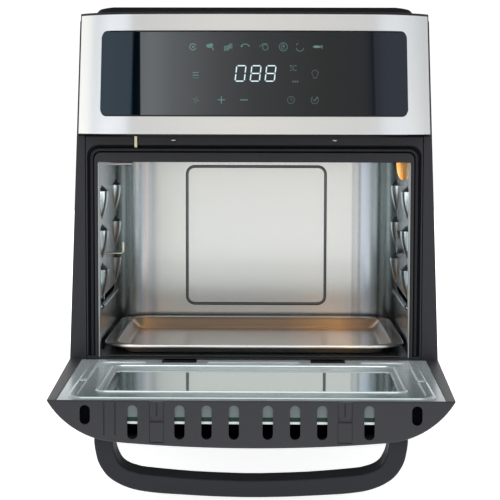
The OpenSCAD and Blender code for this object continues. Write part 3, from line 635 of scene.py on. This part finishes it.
loops = [[(x, y, lid_lo.z) for x, y in lid_outline(0)]]
for inset in INSETS:
    rim = LID_RIM + math.sqrt(1 - (1 - min(inset / LID_RIM_R, 1)) ** 2)
    within = 1 if inset else 0.999  # the outermost loop takes the height from just inside it
    loops.append([
        (x, y, lid_lo.z + min(rim, max(crown(x * within), 0.05))) for x, y in lid_outline(inset)
    ])
lid = mesh("lid_cover", *rings(loops))
finish_piece(lid, "gloss_black", replaces=("top_cover",), angle=50, flat=False)

# ---------------------------------------------------------------- fascia and its glass
carrier = mesh("fascia_surround", *fascia_block(0.3, FZ0, FZ1 - 0.1))
carve(
    carrier,
    fascia_block(3.4, FZ0 + 2.4, FZ1 - 3),
    prism(rect(-124, 124, 300, 372), "Y", -60, 60),
    prism(rect(-170, 170, 270, 400), "Y", -0.05, 20),
)
soften(carrier, 0.5, 2, 40)
finish_piece(carrier, "black_trim", replaces=("fascia_carrier",), angle=28)

skin = mesh("fascia_skin", *fascia_block(0, FZ0 + 0.6, FZ1 - 2.1))
skin_face = [(-155.6, FZ0 - 1), (155.6, FZ0 - 1), (151.7, FZ1 + 1), (-151.7, FZ1 + 1)]
carve(skin, fascia_block(2.2, FZ0 - 1, FZ1 + 1), prism(glass_outline(0.35), "Y", -60, 60))
carve(skin, prism(skin_face, "Y", -60, -1), op="INTERSECT")
soften(skin, 1.1, 3, 32)
finish_piece(skin, "fascia_steel", replaces=("fascia",), angle=28)

glass = mesh("panel_glass", *fascia_block(-0.28, FZ0 + 2, FZ1 - 2))
carve(glass, fascia_block(2.6, FZ0 - 1, FZ1 + 1))
carve(glass, prism(glass_outline(-0.9), "Y", -60, 60), op="INTERSECT")
soften(glass, 0.35, 2, 40)
finish_piece(glass, "panel_glass", replaces=("control_glass",))


# display and touch marks: flat shapes given as (points, faces) in the glass's plane
def strip(points, width, closed=False):
    """A flat line of one width through 2-D points, as quads."""
    pts = [Vector(p) for p in points]
    n = len(pts)
    left, right = [], []
    for i in range(n):
        a = pts[(i - 1) % n] if closed or i else None
        b = pts[(i + 1) % n] if closed or i < n - 1 else None
        d1 = (pts[i] - a).normalized() if a is not None else (b - pts[i]).normalized()
        d2 = (b - pts[i]).normalized() if b is not None else d1
        across = Vector((-(d1 + d2).y, (d1 + d2).x)).normalized()
        k = width / 2 / max(0.5, across.dot(Vector((-d1.y, d1.x))))
        left.append(pts[i] + across * k)
        right.append(pts[i] - across * k)
    faces = [(i, (i + 1) % n, n + (i + 1) % n, n + i) for i in range(n if closed else n - 1)]
    return left + right, faces


def arc(cx, cz, r, a0, a1, n=14):
    return [polar(cx, cz, r, lerp(a0, a1, i / n)) for i in range(n + 1)]


def hoop(cx, cz, r, width, n=14):
    return strip(arc(cx, cz, r, 0, 360, n)[:-1], width, True)


def disc(cx, cz, rx, rz):
    return oval(cx, cz, rx, rz, 16), [tuple(range(16))]


LIFT, MARK_DEPTH = 0.36, 0.12


def on_glass(shapes, name, mat):
    """Flat shapes laid on the glass, each with a little thickness."""
    verts, faces = [], []
    for v, f in shapes:
        for q in f:
            front = [(v[i][0], -fascia_front(v[i][0], v[i][1]) - LIFT, v[i][1]) for i in q]
            back = [(x, y + MARK_DEPTH, z) for x, y, z in front]
            n, base = len(q), len(verts)
            verts += front + back
            faces.append(tuple(range(base, base + n)))
            faces.append(tuple(range(base + n, base + 2 * n))[::-1])
            for i in range(n):
                j = (i + 1) % n
                faces.append((base + i, base + n + i, base + n + j, base + j))
    finish_piece(mesh(name, verts, faces), mat, angle=20)


BAR_WIDTH, BAR_GAP, DIGIT_WIDTH, DIGIT_HEIGHT, DIGIT_LEAN = 1.0, 0.45, 7.9, 13.2, 0.115
BARS = {
    "a": ((0, 1), (1, 1)), "b": ((1, 1), (1, 0.5)), "c": ((1, 0.5), (1, 0)), "d": ((0, 0), (1, 0)),
    "e": ((0, 0.5), (0, 0)), "f": ((0, 1), (0, 0.5)), "g": ((0, 0.5), (1, 0.5)),
}


def segment(p, q):
    """One lit bar of a digit, pointed at both ends."""
    d = (q - p).normalized()
    s = Vector((-d.y, d.x)) * BAR_WIDTH / 2
    a, b = p + d * BAR_GAP, q - d * BAR_GAP
    points = [a, a + d * 0.5 + s, b - d * 0.5 + s, b, b - d * 0.5 - s, a + d * 0.5 - s]
    return points, [tuple(range(6))]


def digit(x, z, lit):
    def spot(u, v):
        rise = v * DIGIT_HEIGHT
        return Vector((x + u * DIGIT_WIDTH + rise * DIGIT_LEAN, z + rise))

    return [segment(*(spot(*end) for end in BARS[k])) for k in lit]


lit = digit(-16.2, 328.7, "abcdef") + digit(-3.2, 328.7, "abcdefg") + digit(9.6, 328.7, "abcdefg")
on_glass(lit, "display_digits", "display_lit")

ROW, MID, LOW, THIN = 358.0, 335.0, 312.6, 0.4
bright = [strip(arc(-52.5, ROW, 2.7, 20, 340), 0.9), disc(-52.3, ROW, 1.1, 0.9)]
bright += [disc(-38.2, ROW + 0.8, 2.9, 1.7), disc(-37.0, ROW + 1.6, 1.9, 1.4)]
bright.append(strip([(-36.2, ROW - 0.2), (-34.6, ROW - 3.0)], 0.8))
for k in (-1.7, 0, 1.7):
    wave = [(7.2 * t / 8, k * 0.9 + 3.2 * t / 8 + 0.7 * math.sin(t * 1.4)) for t in range(9)]
    bright.append(strip([(x - 25.6, z + ROW - 2.0) for x, z in wave], 0.7))
bright += [strip(arc(-7.5, ROW - 1.8, 4.2, 25, 140), 0.7), disc(-10.6, ROW + 0.5, 0.9, 0.7)]
bright.append(hoop(9.8, ROW - 0.4, 2.4, THIN))
bright.append(strip([(4.6, ROW + 0.2), (8.4, ROW + 2.8), (11.6, ROW + 2.6)], THIN))
bright += [hoop(25.2, ROW, 3.5, THIN), disc(25.8, ROW + 0.3, 0.7, 0.7)]
bright.append(strip(arc(25.2, ROW, 1.8, 60, 300), THIN))
bright.append(strip(arc(39.6, ROW - 0.2, 3.4, 190, 350), THIN))
bright.append(strip([(36.4, ROW + 1.6), (37.8, ROW + 3.2)], THIN))
bright.append(disc(54.0, ROW + 0.2, 3.4, 1.15))
bright.append(strip([(57.0, ROW + 0.2), (58.6, ROW + 1.5), (58.6, ROW - 1.1)], 0.5, True))
bright += [strip([(-52.8, MID + k), (-47.6, MID + k)], 0.75) for k in (1.0, -1.2)]
bright.append(strip([(-31.2, LOW), (-24.8, LOW)], 0.8))
bright.append(strip([(-28, LOW - 3.2), (-28, LOW + 3.2)], 0.8))
bright.append(strip([(-11.8, LOW), (-5.2, LOW)], 0.8))
on_glass(bright, "touch_marks", "icon_lit")

dim = [strip([(-52.8, MID - 3.4), (-47.6, MID - 3.4)], 0.6)]
for a in (45, 135, 225, 315):
    dim.append(strip([polar(-50, LOW, 0.7, a), polar(-50, LOW, 3.3, a + 28)], 0.6))
dim += [hoop(-50, LOW, 1.6, 0.45), hoop(31.9, 341.6, 0.9, THIN, 8)]
dim.append(strip(arc(35.6, 340, 2.1, 55, 305), 0.5))
dim.append(strip([(31, 337.6), (33.2, 338.9)], 0.5))
dim += [strip([(33.2 + 1.9 * k, 328.4), (34.4 + 1.9 * k, 328.4)], 1.5) for k in range(3)]
bulb_foot = [(51.0, MID - 2.2), (51.5, MID - 3.6), (53.7, MID - 3.6), (54.2, MID - 2.2)]
dim += [strip(arc(52.6, MID + 0.6, 2.7, -50, 230), THIN), strip(bulb_foot, THIN)]
dim.append(hoop(32, LOW, 3.1, THIN))
dim.append(strip([(32, LOW + 1.9), (32, LOW), (33.5, LOW - 0.6)], THIN))
dim.append(strip(arc(52.5, LOW, 3.2, 120, 420), THIN))
dim.append(strip([(51.0, LOW + 0.4), (52.5, LOW - 0.6), (54.9, LOW + 2.8)], 0.65))
on_glass(dim, "touch_marks_dim", "icon_dim")

# ---------------------------------------------------------------- cavity
CAV, CAV_R, CAV_DEPTH = 140.3, 40.0, 235.0  # half width, rear corners' radius, depth
CAV_TOP = mm("cavity_wrap")[1].z
REST_Y, REST_Z = (48, 175), (229.8, 193.7, 157.7)
RESTS = [(s, y, z) for s in SIDES for y in REST_Y for z in REST_Z]


def u_path(o):
    """The cavity's outline seen from above, o outside its inner face."""
    left = [(-CAV - o, 14.2)]
    for i in range(29):
        a = math.radians(90 * i / 28)
        out, back = (CAV_R + o) * math.cos(a), (CAV_R + o) * math.sin(a)
        left.append((-CAV + CAV_R - out, CAV_DEPTH - CAV_R + back))
    return left + [(-x, y) for x, y in left[::-1]]


liner = mesh("cavity_liner", *prism(u_path(1.0) + u_path(0.0)[::-1], "Z", 82.4, CAV_TOP))
SEAT = [(-10.2, -3), (-9.4, 1.6), (-5, 4.8), (1.5, 5.8), (7, 3.6), (10.2, -3)]
seats = []
for s in SIDES:
    through = s * (CAV - 1), s * (CAV + 2)
    for y in REST_Y:
        for z in REST_Z:
            seats.append(prism([(y + p[0], z + p[1]) for p in SEAT], "X", *through))
    seats.append(prism(round_rect(31, 169, 126.6, 131.4, 2.3), "X", *through))
carve(liner, join(*seats))
carve(
    liner,
    prism(circle(100, 179, 9.4), "X", CAV - 1, CAV + 3),  # drive socket
    prism(circle(85, 253, 12.5), "X", CAV - 1, CAV + 3),  # lamp
    prism(circle(188, 250, 2.1, 16), "X", -CAV - 3, -CAV + 1),  # temperature probe
    prism(circle(81, 169.3, 1.3, 16), "X", -CAV - 3, -CAV + 1),  # wire support
)
finish_piece(liner, "cavity_steel", replaces=("cavity_wrap",))
edges = [prism(mirror_rect(s, 138.35, 139.3, 2.4, 14), "Z", 82.3, 257.5) for s in SIDES]
finish_piece(mesh("liner_edges", *join(*edges)), "liner_edge")

REST_ROWS, REST_COLUMNS = 15, 17


def rest_faces():
    """The faces between an outer and an inner grid of points, and round their rim."""
    n, off = REST_COLUMNS, REST_ROWS * REST_COLUMNS
    faces = []
    for a in range(REST_ROWS - 1):
        for b in range(n - 1):
            i, j = a * n + b, (a + 1) * n + b
            faces.append((i, i + 1, j + 1, j))
            faces.append((off + i, off + j, off + j + 1, off + i + 1))
        for i in (a * n, a * n + n - 1):
            faces.append((i, i + n, off + i + n, off + i))
    for b in range(n - 1):
        for i in (b, (REST_ROWS - 1) * n + b):
            faces.append((i, i + 1, off + i + 1, off + i))
    return faces


def rack_rest(s, y, z):
    """A pressed half cup, open at its top: grids of its outer and its inner skin."""
    outer, inner = [], []
    for j in range(REST_ROWS):
        v = j / (REST_ROWS - 1)
        w = 12.2 * (1 - v) ** 0.4 + 0.4
        d = 6.4 * (1 - v**1.8)
        for i in range(REST_COLUMNS):
            u = -1 + 2 * i / (REST_COLUMNS - 1)
            k = math.sqrt(max(0.0, 1 - abs(u) ** 2.6))
            outer.append((s * (CAV + 0.15 - d * k), y + u * w, z - 27 * v))
            reach = max(d * k, 0.2) * 0.98
            inner.append((s * (CAV + 0.95 - reach), y + u * (w - 0.7), z - 26 * v))
    return outer + inner, rest_faces()


rests = mesh("rack_rests", *join(*[rack_rest(*r) for r in RESTS]))
finish_piece(rests, "cavity_steel", angle=45, flat=False)
# dark plugs just inside each rest's open top: painted shadow in the cups
POCKET = ((0.3, -1.2), (-5.4, -1.2), (-3.6, 0.8), (-0.8, 3.4), (0.3, 3.7))
pocket_shadows = []
for s, y, z in RESTS:
    pocket_shadows.append(prism([(s * (CAV + p[0]), z + p[1]) for p in POCKET], "Y", y - 6.5, y + 6.5))
finish_piece(mesh("rest_pocket_shadows", *join(*pocket_shadows)), "shadow_steel", angle=45)

LEDGE_Z = 123.4
LEDGE = (
    (0.3, 127.2), (-1.6, 127.0), (-3.4, 126.4), (-4.1, 125.2), (-3.7, 123.8), (-1.8, 121.6),
    (0.3, 119.6),
)
LEDGE_RUN = (  # behind the frame, how far it stands out
    (30, 0.05), (31, 0.45), (33, 0.8), (36, 1.0), (164, 1.0), (167, 0.8), (169, 0.45), (170, 0.05)
)
ledges = []
for s in SIDES:
    ledges.append(rings([
        [(s * (CAV + x * k), y, LEDGE_Z + (z - LEDGE_Z) * (0.5 + 0.5 * k)) for x, z in LEDGE]
        for y, k in LEDGE_RUN
    ]))
finish_piece(mesh("tray_ledges", *join(*ledges)), "cavity_steel", angle=45)

# a bead round the rear wall, in darker steel than the wall: painted shade along it
ring = [Vector((x, CAV_DEPTH - 0.1, z)) for x, z in round_rect(-71.5, 71.5, 103.5, 246.0, 8)]
ROUND_BEAD = [(-1.5, 0.15), (1.5, 0.15), (1.1, -0.6), (0.4, -0.95), (-0.4, -0.95), (-1.1, -0.6)]
bead = mesh("rear_bead", *sweep(ring, ROUND_BEAD, closed=True))
finish_piece(bead, "bead_shade_steel", angle=50)

# ---------------------------------------------------------------- drip tray
tray_lo, tray_hi = mm("drip_tray")
tz0, tz1 = tray_lo.z, tray_hi.z
ROLL = 1.5  # radius of the rolled rim
# both profiles run inward or outward in (inset, height)
under = [
    (21.5, tz0), (19.6, tz0 + 0.1), (17.9, tz0 + 0.9), (16.9, tz0 + 2.0), (12.1, tz1 - 2.4),
    (11.4, tz1 - 1.5), (10.6, tz1 - 1.3), (4.2, tz1 - 1.3),
]
over = [polar(ROLL, tz1 - ROLL, ROLL, a) for a in range(-60, -301, -20)]
over += [
    (3.2, tz1 - 0.55), (5, tz1 - 0.5), (10.8, tz1 - 0.5), (11.6, tz1 - 0.7), (12.2, tz1 - 1.2),
    (12.8, tz1 - 2.2), (17.6, tz0 + 2.4), (18.5, tz0 + 1.4), (19.8, tz0 + 0.9), (21.5, tz0 + 0.8),
]


def tray_loop(inset, z):
    box = tray_lo.x + inset, tray_hi.x - inset, tray_lo.y + inset, tray_hi.y - inset
    return [(x, y, z) for x, y in round_rect(*box, max(32 - inset, 9), 10)]


tray = mesh("tray_pan", *rings([tray_loop(*p) for p in under + over]))
finish_piece(tray, "tray_steel", body="tray", replaces=("drip_tray",), angle=38, flat=False)

# ---------------------------------------------------------------- door, as it lies open
DOOR_Z = 82.0
HINGE_END, FREE_END = 3.8, 211.6  # in front of the frame's face
HINGE_HALF, FREE_HALF = 165.3, 157.4  # half the width at those ends


def door_half(y):
    return lerp(HINGE_HALF, FREE_HALF, (-y - HINGE_END) / (FREE_END - HINGE_END))


def door_block(e, y0, y1):
    ends = (y0, y1)
    return bulge_block(door_half(y0), door_half(y1), e, lambda p, k: (p[0], ends[k], DOOR_Z - p[1]))


def edge_cut(points, depth):
    """A cut through or into the door's free edge."""
    return prism(points, "Y", -FREE_END - 1, -FREE_END + depth)


def edge_slot(x, bottom):
    return edge_cut(round_rect(x - 4, x + 4, DOOR_Z - bottom, DOOR_Z - 3.9, 3.98), 5)


door = mesh("door_shell", *door_block(0, -HINGE_END, -FREE_END))
soften(door, 1.3, 3, 50)
carve(door, door_block(4.0, -HINGE_END - 3.4, -FREE_END + 3.4))
# close the top again over the hollow, then open what the panel needs
cover = [(-162, -4.6), (162, -4.6), (154.6, -210.6), (-154.6, -210.6)]
top = mesh("door_top", *prism(cover, "Z", DOOR_Z - 3.4, DOOR_Z - 0.01))
carve(top, door_block(0.6, -HINGE_END - 0.5, -FREE_END + 0.5), op="INTERSECT")
combine(door, top, "UNION")
knuckles = [prism(rect(x, x + 7.2, -13.5, -4), "Z", 70.5, 79.5) for x in (-89, -50.2, 43, 81.8)]
carve(door, *knuckles, op="UNION")
recess = [(-154.1, -2), (154.1, -2), (150.1, -210.7), (-150.1, -210.7)]
carve(
    door,
    prism(recess, "Z", DOOR_Z - 1.4, DOOR_Z + 2),
    prism(round_rect(-128, 128, -192, -38, 4), "Z", 60, 90),
    prism(round_rect(-118, 118, -192, -28, 6), "Z", 30, 66),
    prism(rect(-81.7, -50.3, -25, 5), "Z", 58, 88),
    prism(rect(50.3, 81.7, -25, 5), "Z", 58, 88),
)
cuts = [edge_slot(s * x, 30.5) for s in SIDES for x in (13, 34, 54.8, 91)]
cuts += [edge_slot(s * 127.5, 19) for s in SIDES]
for s in SIDES:
    cuts.append(edge_cut(rect(s * 72.3 - 5.6, s * 72.3 + 5.6, DOOR_Z - 33, DOOR_Z - 0.9), 1.2))
for x in (-113.4, -104.8):
    cuts.append(edge_cut(rect(x, x + 1.3, DOOR_Z - 27, DOOR_Z - 1.2), 0.9))
carve(door, join(*cuts))
carve(door, join(*[prism(circle(-7, 76, 2.5), "X", x, x + 43) for x in (-87.5, 44.5)]))
finish_piece(door, "charcoal", body="door", replaces=("door_frame",))

# thin black plates behind the two end slots: painted shade, so the slots read as dark openings
shade_plates = []
for s in SIDES:
    plate = rect(s * 127.5 - 4.6, s * 127.5 + 4.6, DOOR_Z - 19.6, DOOR_Z - 3.3)
    shade_plates.append(prism(plate, "Y", -FREE_END + 2.7, -FREE_END + 3.1))
finish_piece(mesh("slot_shade_plates", *join(*shade_plates)), "shade_black", body="door")

# dark outer pane, seen when the door is shut
pane = mesh("outer_pane", *door_block(0, -HINGE_END, -FREE_END))
carve(pane, door_block(2.6, -HINGE_END + 1, -FREE_END - 1))
carve(pane, prism(round_rect(-117.7, 117.7, -191.7, -28.3, 5.8), "Z", 30, 70), op="INTERSECT")
soften(pane, 0.3, 2, 50)
finish_piece(pane, "outer_glass", body="door", replaces=("door_outer_window",))


# pressed inner panel: a height map that is dense where the beads are
def to_rect(x, y, x0, x1, y0, y1, r):
    """Signed distance to a rounded rectangle, negative inside."""
    qx = abs(x - (x0 + x1) / 2) - (x1 - x0) / 2 + r
    qy = abs(y - (y0 + y1) / 2) - (y1 - y0) / 2 + r
    return math.hypot(max(qx, 0), max(qy, 0)) + min(max(qx, qy), 0) - r


def raised(d, half, edge):
    """1 on a raised band, falling to 0 over its edge."""
    t = min(max((half - abs(d)) / edge, 0), 1)
    return t * t * (3 - 2 * t)


OUTER_BEAD, INNER_BEAD = 1.17, 1.12  # heights


def panel_height(x, y):
    """Height over the sheet: two bead loops, a step down to the pane, dishes for the screws."""
    h = OUTER_BEAD * raised(to_rect(x, y, -139.6, 139.6, -197, -20, 10), 4.1, 1.7)
    if y > -27.5:  # the bead stops at the hinges' notches
        h *= min(max((abs(abs(x) - 67.8) - 26) / 1.8, 0), 1)
    h = max(h, INNER_BEAD * raised(to_rect(x, y, -123, 123, -170.5, -39.5, 8.5), 1.7, 1.5))
    rim = to_rect(x, y, -117, 117, -168, -66, 6)
    if 0 < rim < 2:
        h -= 0.42 * (1 - rim / 2)
    dish = math.hypot(abs(x) - 139.4, y + 117)
    return min(h, OUTER_BEAD * max(0.0, (dish - 3.8) / 2.2)) if dish < 6 else h


def lines(spans, coarse, fine):
    """Grid lines over the spans, which take coarse and fine steps in turn, starting coarse."""
    out = [spans[0]]
    for k, (a, b) in enumerate(zip(spans, spans[1:])):
        n = max(1, round((b - a) / (fine if k % 2 else coarse)))
        out += [a + (b - a) * i / n for i in range(1, n + 1)]
    return out


half_x = lines((0, 39.5, 44.5, 91, 96, 113.8, 125.2, 131, 144.2, 152), 5.0, 0.5)
xs = [-x for x in half_x[:0:-1]] + half_x
ROWS_Y = (-210.4, -201.6, -188, -173, -161, -121, -113, -70, -64, -49, -37.6, -28.4, -15.4)
ys = lines((*ROWS_Y, -HINGE_END - 0.4), 4.0, 0.5)
grid = []
for y in ys:
    w = lerp(153.8, 149.9, (-y - HINGE_END) / (FREE_END - HINGE_END))
    for x in xs:
        if abs(x) > 148:
            x = math.copysign(lerp(148, w, (abs(x) - 148) / 4), x)
        grid.append((x, y, DOOR_Z - 0.75 + panel_height(x, y)))
nx = len(xs)
starts = [j * nx + i for j in range(len(ys) - 1) for i in range(nx - 1)]
panel = mesh("panel_sheet", grid, [(k, k + 1, k + nx + 1, k + nx) for k in starts])
thicken(panel, 0.9, -1)
carve(
    panel,
    prism(round_rect(-117, 117, -168, -66, 6), "Z", 70, 90),
    prism(round_rect(-81.5, -50.5, -21, 2, 1.5), "Z", 70, 90),
    prism(round_rect(50.5, 81.5, -21, 2, 1.5), "Z", 70, 90),
)
finish_piece(panel, "door_sheet", body="door", replaces=("door_inner_panel",), angle=35, flat=False)

# the sheet's fold behind the free edge, darker than the panel: painted shade seen through the slots
fold = [(-207.9, 68.4), (-207.9, 79.0), (-207.5, 80.1), (-206.6, 80.7), (-205.6, 80.75)]
strips = rings([[(-126, y, z), (126, y, z)] for y, z in fold], cap=False, closed=False)
flange = mesh("panel_flange", *strips)
thicken(flange, 0.8, 0)
finish_piece(flange, "fold_shade_sheet", body="door", angle=50)

# handle
grip_outer = [
    (7, -77.4), (30, -76.8), (54.8, -75.5), (72, -74.4), (87.2, -72.4), (97.5, -69.4),
    (105.7, -65.3), (111.3, -60.9), (115.5, -55.4), (118.6, -49.2), (120.3, -42), (121.3, -35),
    (121.25, -28.8),
]
grip_inner = [
    (106.3, -28.8), (106.6, -35.7), (105.8, -41.4), (103.9, -46.7), (100.8, -51.8), (95.8, -55.3),
    (89.6, -57.4), (80.7, -59.1), (44, -62.3), (7, -63.7),
]
right = smooth_path(grip_outer) + smooth_path(grip_inner)
outline = [(p[0], DOOR_Z + p[1]) for p in right] + [(-p[0], DOOR_Z + p[1]) for p in right[::-1]]
handle_lo, handle_hi = mm("door_handle")
grip = mesh("grip_bar", *prism(outline, "Y", handle_lo.y, handle_hi.y))
soften(grip, 3.2, 4, 40)
finish_piece(grip, "handle_charcoal", body="door", replaces=("door_handle",))

# ---------------------------------------------------------------- finishes of the CAD pieces
CAD = {
    "zinc_sheet": (
        "base_plate", "front_bulkhead", "cavity_top", "element_clips", "rotisserie_motor",
        "heat_shield", "motor_bracket", "fan_shroud",
    ),
    "rubber_black": ("foot_front_left", "foot_front_right", "foot_rear_left", "foot_rear_right"),
    "charcoal": ("rear_cover", "door_catch_left", "door_catch_right"),
    "black_trim": ("cord_gland", "fascia_trim", "cooling_fan", "door_switch"),
    "screw_steel": (
        "rear_screws", "temperature_probe", "motor_shaft", "hinge_pin_left", "hinge_pin_right",
        "door_screws", "handle_screws",
    ),
    "hinge_steel": ("hinge_bracket_left", "hinge_bracket_right"),
    # cavity floor under the tray and the drive socket in darker steel: painted shade
    "shaded_steel": ("cavity_floor", "drive_socket"),
    "display": ("display_module",),
    "circuit_green": ("touch_board",),
    "circuit_brown": ("power_board",),
    "brass_pale": ("touch_springs",),
    "guard_steel": ("fan_guard",),
    "element_sheath": ("heating_element",),
    "hook_steel": ("rotisserie_support",),
    "lamp_glass": ("lamp_lens",),
    "lamp_glow": ("lamp_bulb",),
    "ceramic_white": ("lamp_socket",),
    "motor_iron": ("motor_stator",),
    "fan_aluminium": ("hot_fan",),
    "switch_cream": ("switch_lever",),
    "window_glass": ("door_inner_glass",),
    "edge_glass": ("door_middle_glass",),
    "seal_white": ("door_glass_seal",),
}
for mat, nodes in CAD.items():
    for node in nodes:
        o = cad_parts[node]
        o.data.materials.clear()
        o.data.materials.append(MAT[mat])
        for p in o.data.polygons:
            p.material_index = 0
for mat, width in (("rubber_black", 0.0005), ("hinge_steel", 0.0004)):
    for node in CAD[mat]:
        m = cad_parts[node].modifiers.new("edges", "BEVEL")
        m.width, m.segments = width, 2
        m.limit_method, m.angle_limit = "ANGLE", math.radians(40)

# ---------------------------------------------------------------- surroundings
corners = [(x, y, 0) for x, y in rect(-3000, 3000, -800, 3500)]
floor = mesh("floor", corners, [(0, 1, 2, 3)])
floor_white, floor_shader = new_material("floor", (0.92, 0.92, 0.92), 0.9)
floor_shader.inputs["Specular IOR Level"].default_value = 0.0
floor_shader.inputs["Emission Color"].default_value = (1, 1, 1, 1)
floor_shader.inputs["Emission Strength"].default_value = 0.86
floor.data.materials.append(floor_white)

# The world's colour by compass angle round the oven, in degrees to the right of the front
WHITE, BLACK = (1.05, 1.05, 1.05), (0.02, 0.02, 0.02)
SEAM = (0.03, 0.03, 0.03)
STUDIO = (
    (-95, WHITE),
    (-85, (0.6, 0.66, 0.72)),
    (-60, (0.92, 0.96, 1.05)),
    (-22, (0.88, 0.92, 1.0)),
    (-18.4, (0.84, 0.88, 0.95)),
    (-18, BLACK),
    (-13.6, BLACK),
    (-13.2, (0.9, 0.88, 0.84)),
    (0, (0.78, 0.765, 0.73)),
    (13, (0.64, 0.63, 0.6)),
    (13.2, SEAM),
    (14.0, SEAM),
    (14.2, (0.62, 0.64, 0.7)),
    (30, (0.8, 0.84, 0.9)),
    (50, (0.8, 0.84, 0.9)),
    (75, (0.7, 0.73, 0.77)),
    (110, (0.56, 0.59, 0.62)),
    (130, (0.62, 0.65, 0.68)),
    (145, WHITE),
)
world = bpy.data.worlds.new("studio")
bpy.context.scene.world = world
world.use_nodes = True
nodes, links = world.node_tree.nodes, world.node_tree.links
background = nodes["Background"]
background.inputs["Strength"].default_value = 1.0
coords = nodes.new("ShaderNodeTexCoord")
split = nodes.new("ShaderNodeSeparateXYZ")
flip = nodes.new("ShaderNodeMath")
flip.operation = "MULTIPLY"
flip.inputs[1].default_value = -1.0
compass = nodes.new("ShaderNodeMath")
compass.operation = "ARCTAN2"
turn = nodes.new("ShaderNodeMapRange")
turn.inputs["From Min"].default_value = -math.pi
turn.inputs["From Max"].default_value = math.pi
ramp = nodes.new("ShaderNodeValToRGB")
for end in ramp.color_ramp.elements:
    end.color = (*WHITE, 1)
for degrees, color in STUDIO:
    ramp.color_ramp.elements.new((degrees + 180) / 360).color = (*color, 1)
links.new(coords.outputs["Generated"], split.inputs["Vector"])
links.new(split.outputs["Y"], flip.inputs[0])
links.new(split.outputs["X"], compass.inputs[0])
links.new(flip.outputs[0], compass.inputs[1])
links.new(compass.outputs[0], turn.inputs["Value"])
links.new(turn.outputs["Result"], ramp.inputs["Fac"])
links.new(ramp.outputs["Color"], background.inputs["Color"])


def place(name, data, spot):
    o = bpy.data.objects.new(name, data)
    bpy.context.scene.collection.objects.link(o)
    o.location = spot
    return o


def area(name, pos, aim, size, power):
    """A soft box at pos, facing aim (both in metres), which the camera doesn't see."""
    light = bpy.data.lights.new(name, "AREA")
    light.shape, light.size, light.size_y, light.energy = "RECTANGLE", *size, power
    o = place(name, light, pos)
    o.rotation_mode = "QUATERNION"
    o.rotation_quaternion = (Vector(aim) - Vector(pos)).to_track_quat("-Z", "Y")
    o.visible_camera = False
    return o


area("key_front", (0.0, -1.9, 1.5), (0, 0, 0.15), (1.2, 0.8), 9).visible_glossy = False
area("top_soft", (0.0, -0.2, 1.7), (0, 0, 0.1), (1.4, 1.2), 10)

lamp = bpy.data.lights.new("cavity_lamp", "POINT")
lamp.energy, lamp.color, lamp.shadow_soft_size = 0.16, (1.0, 0.55, 0.25), 0.012
lamp_object = place("cavity_lamp", lamp, at((112, 90, 240)))
lamp_object.visible_camera = False
lamp_object.visible_glossy = False

# the photograph's camera: where it stands, and its pan, tilt and roll in radians
CAMERA, PAN, TILT, CAMERA_ROLL = (14.108, -1430.14, 302.654), 0.0123, 0.0858, 0.0021
lens = bpy.data.cameras.new("camera")
lens.sensor_width, lens.lens = 36.0, 115.93
camera = place("camera", lens, (0, 0, 0))
camera.matrix_world = (
    Matrix.Translation(at(CAMERA))
    @ Matrix.Rotation(PAN, 4, "Z")
    @ Matrix.Rotation(math.pi / 2 - TILT, 4, "X")
    @ Matrix.Rotation(CAMERA_ROLL, 4, "Z")
)
bpy.context.scene.camera = camera
bpy.context.scene.view_settings.view_transform = "Standard"
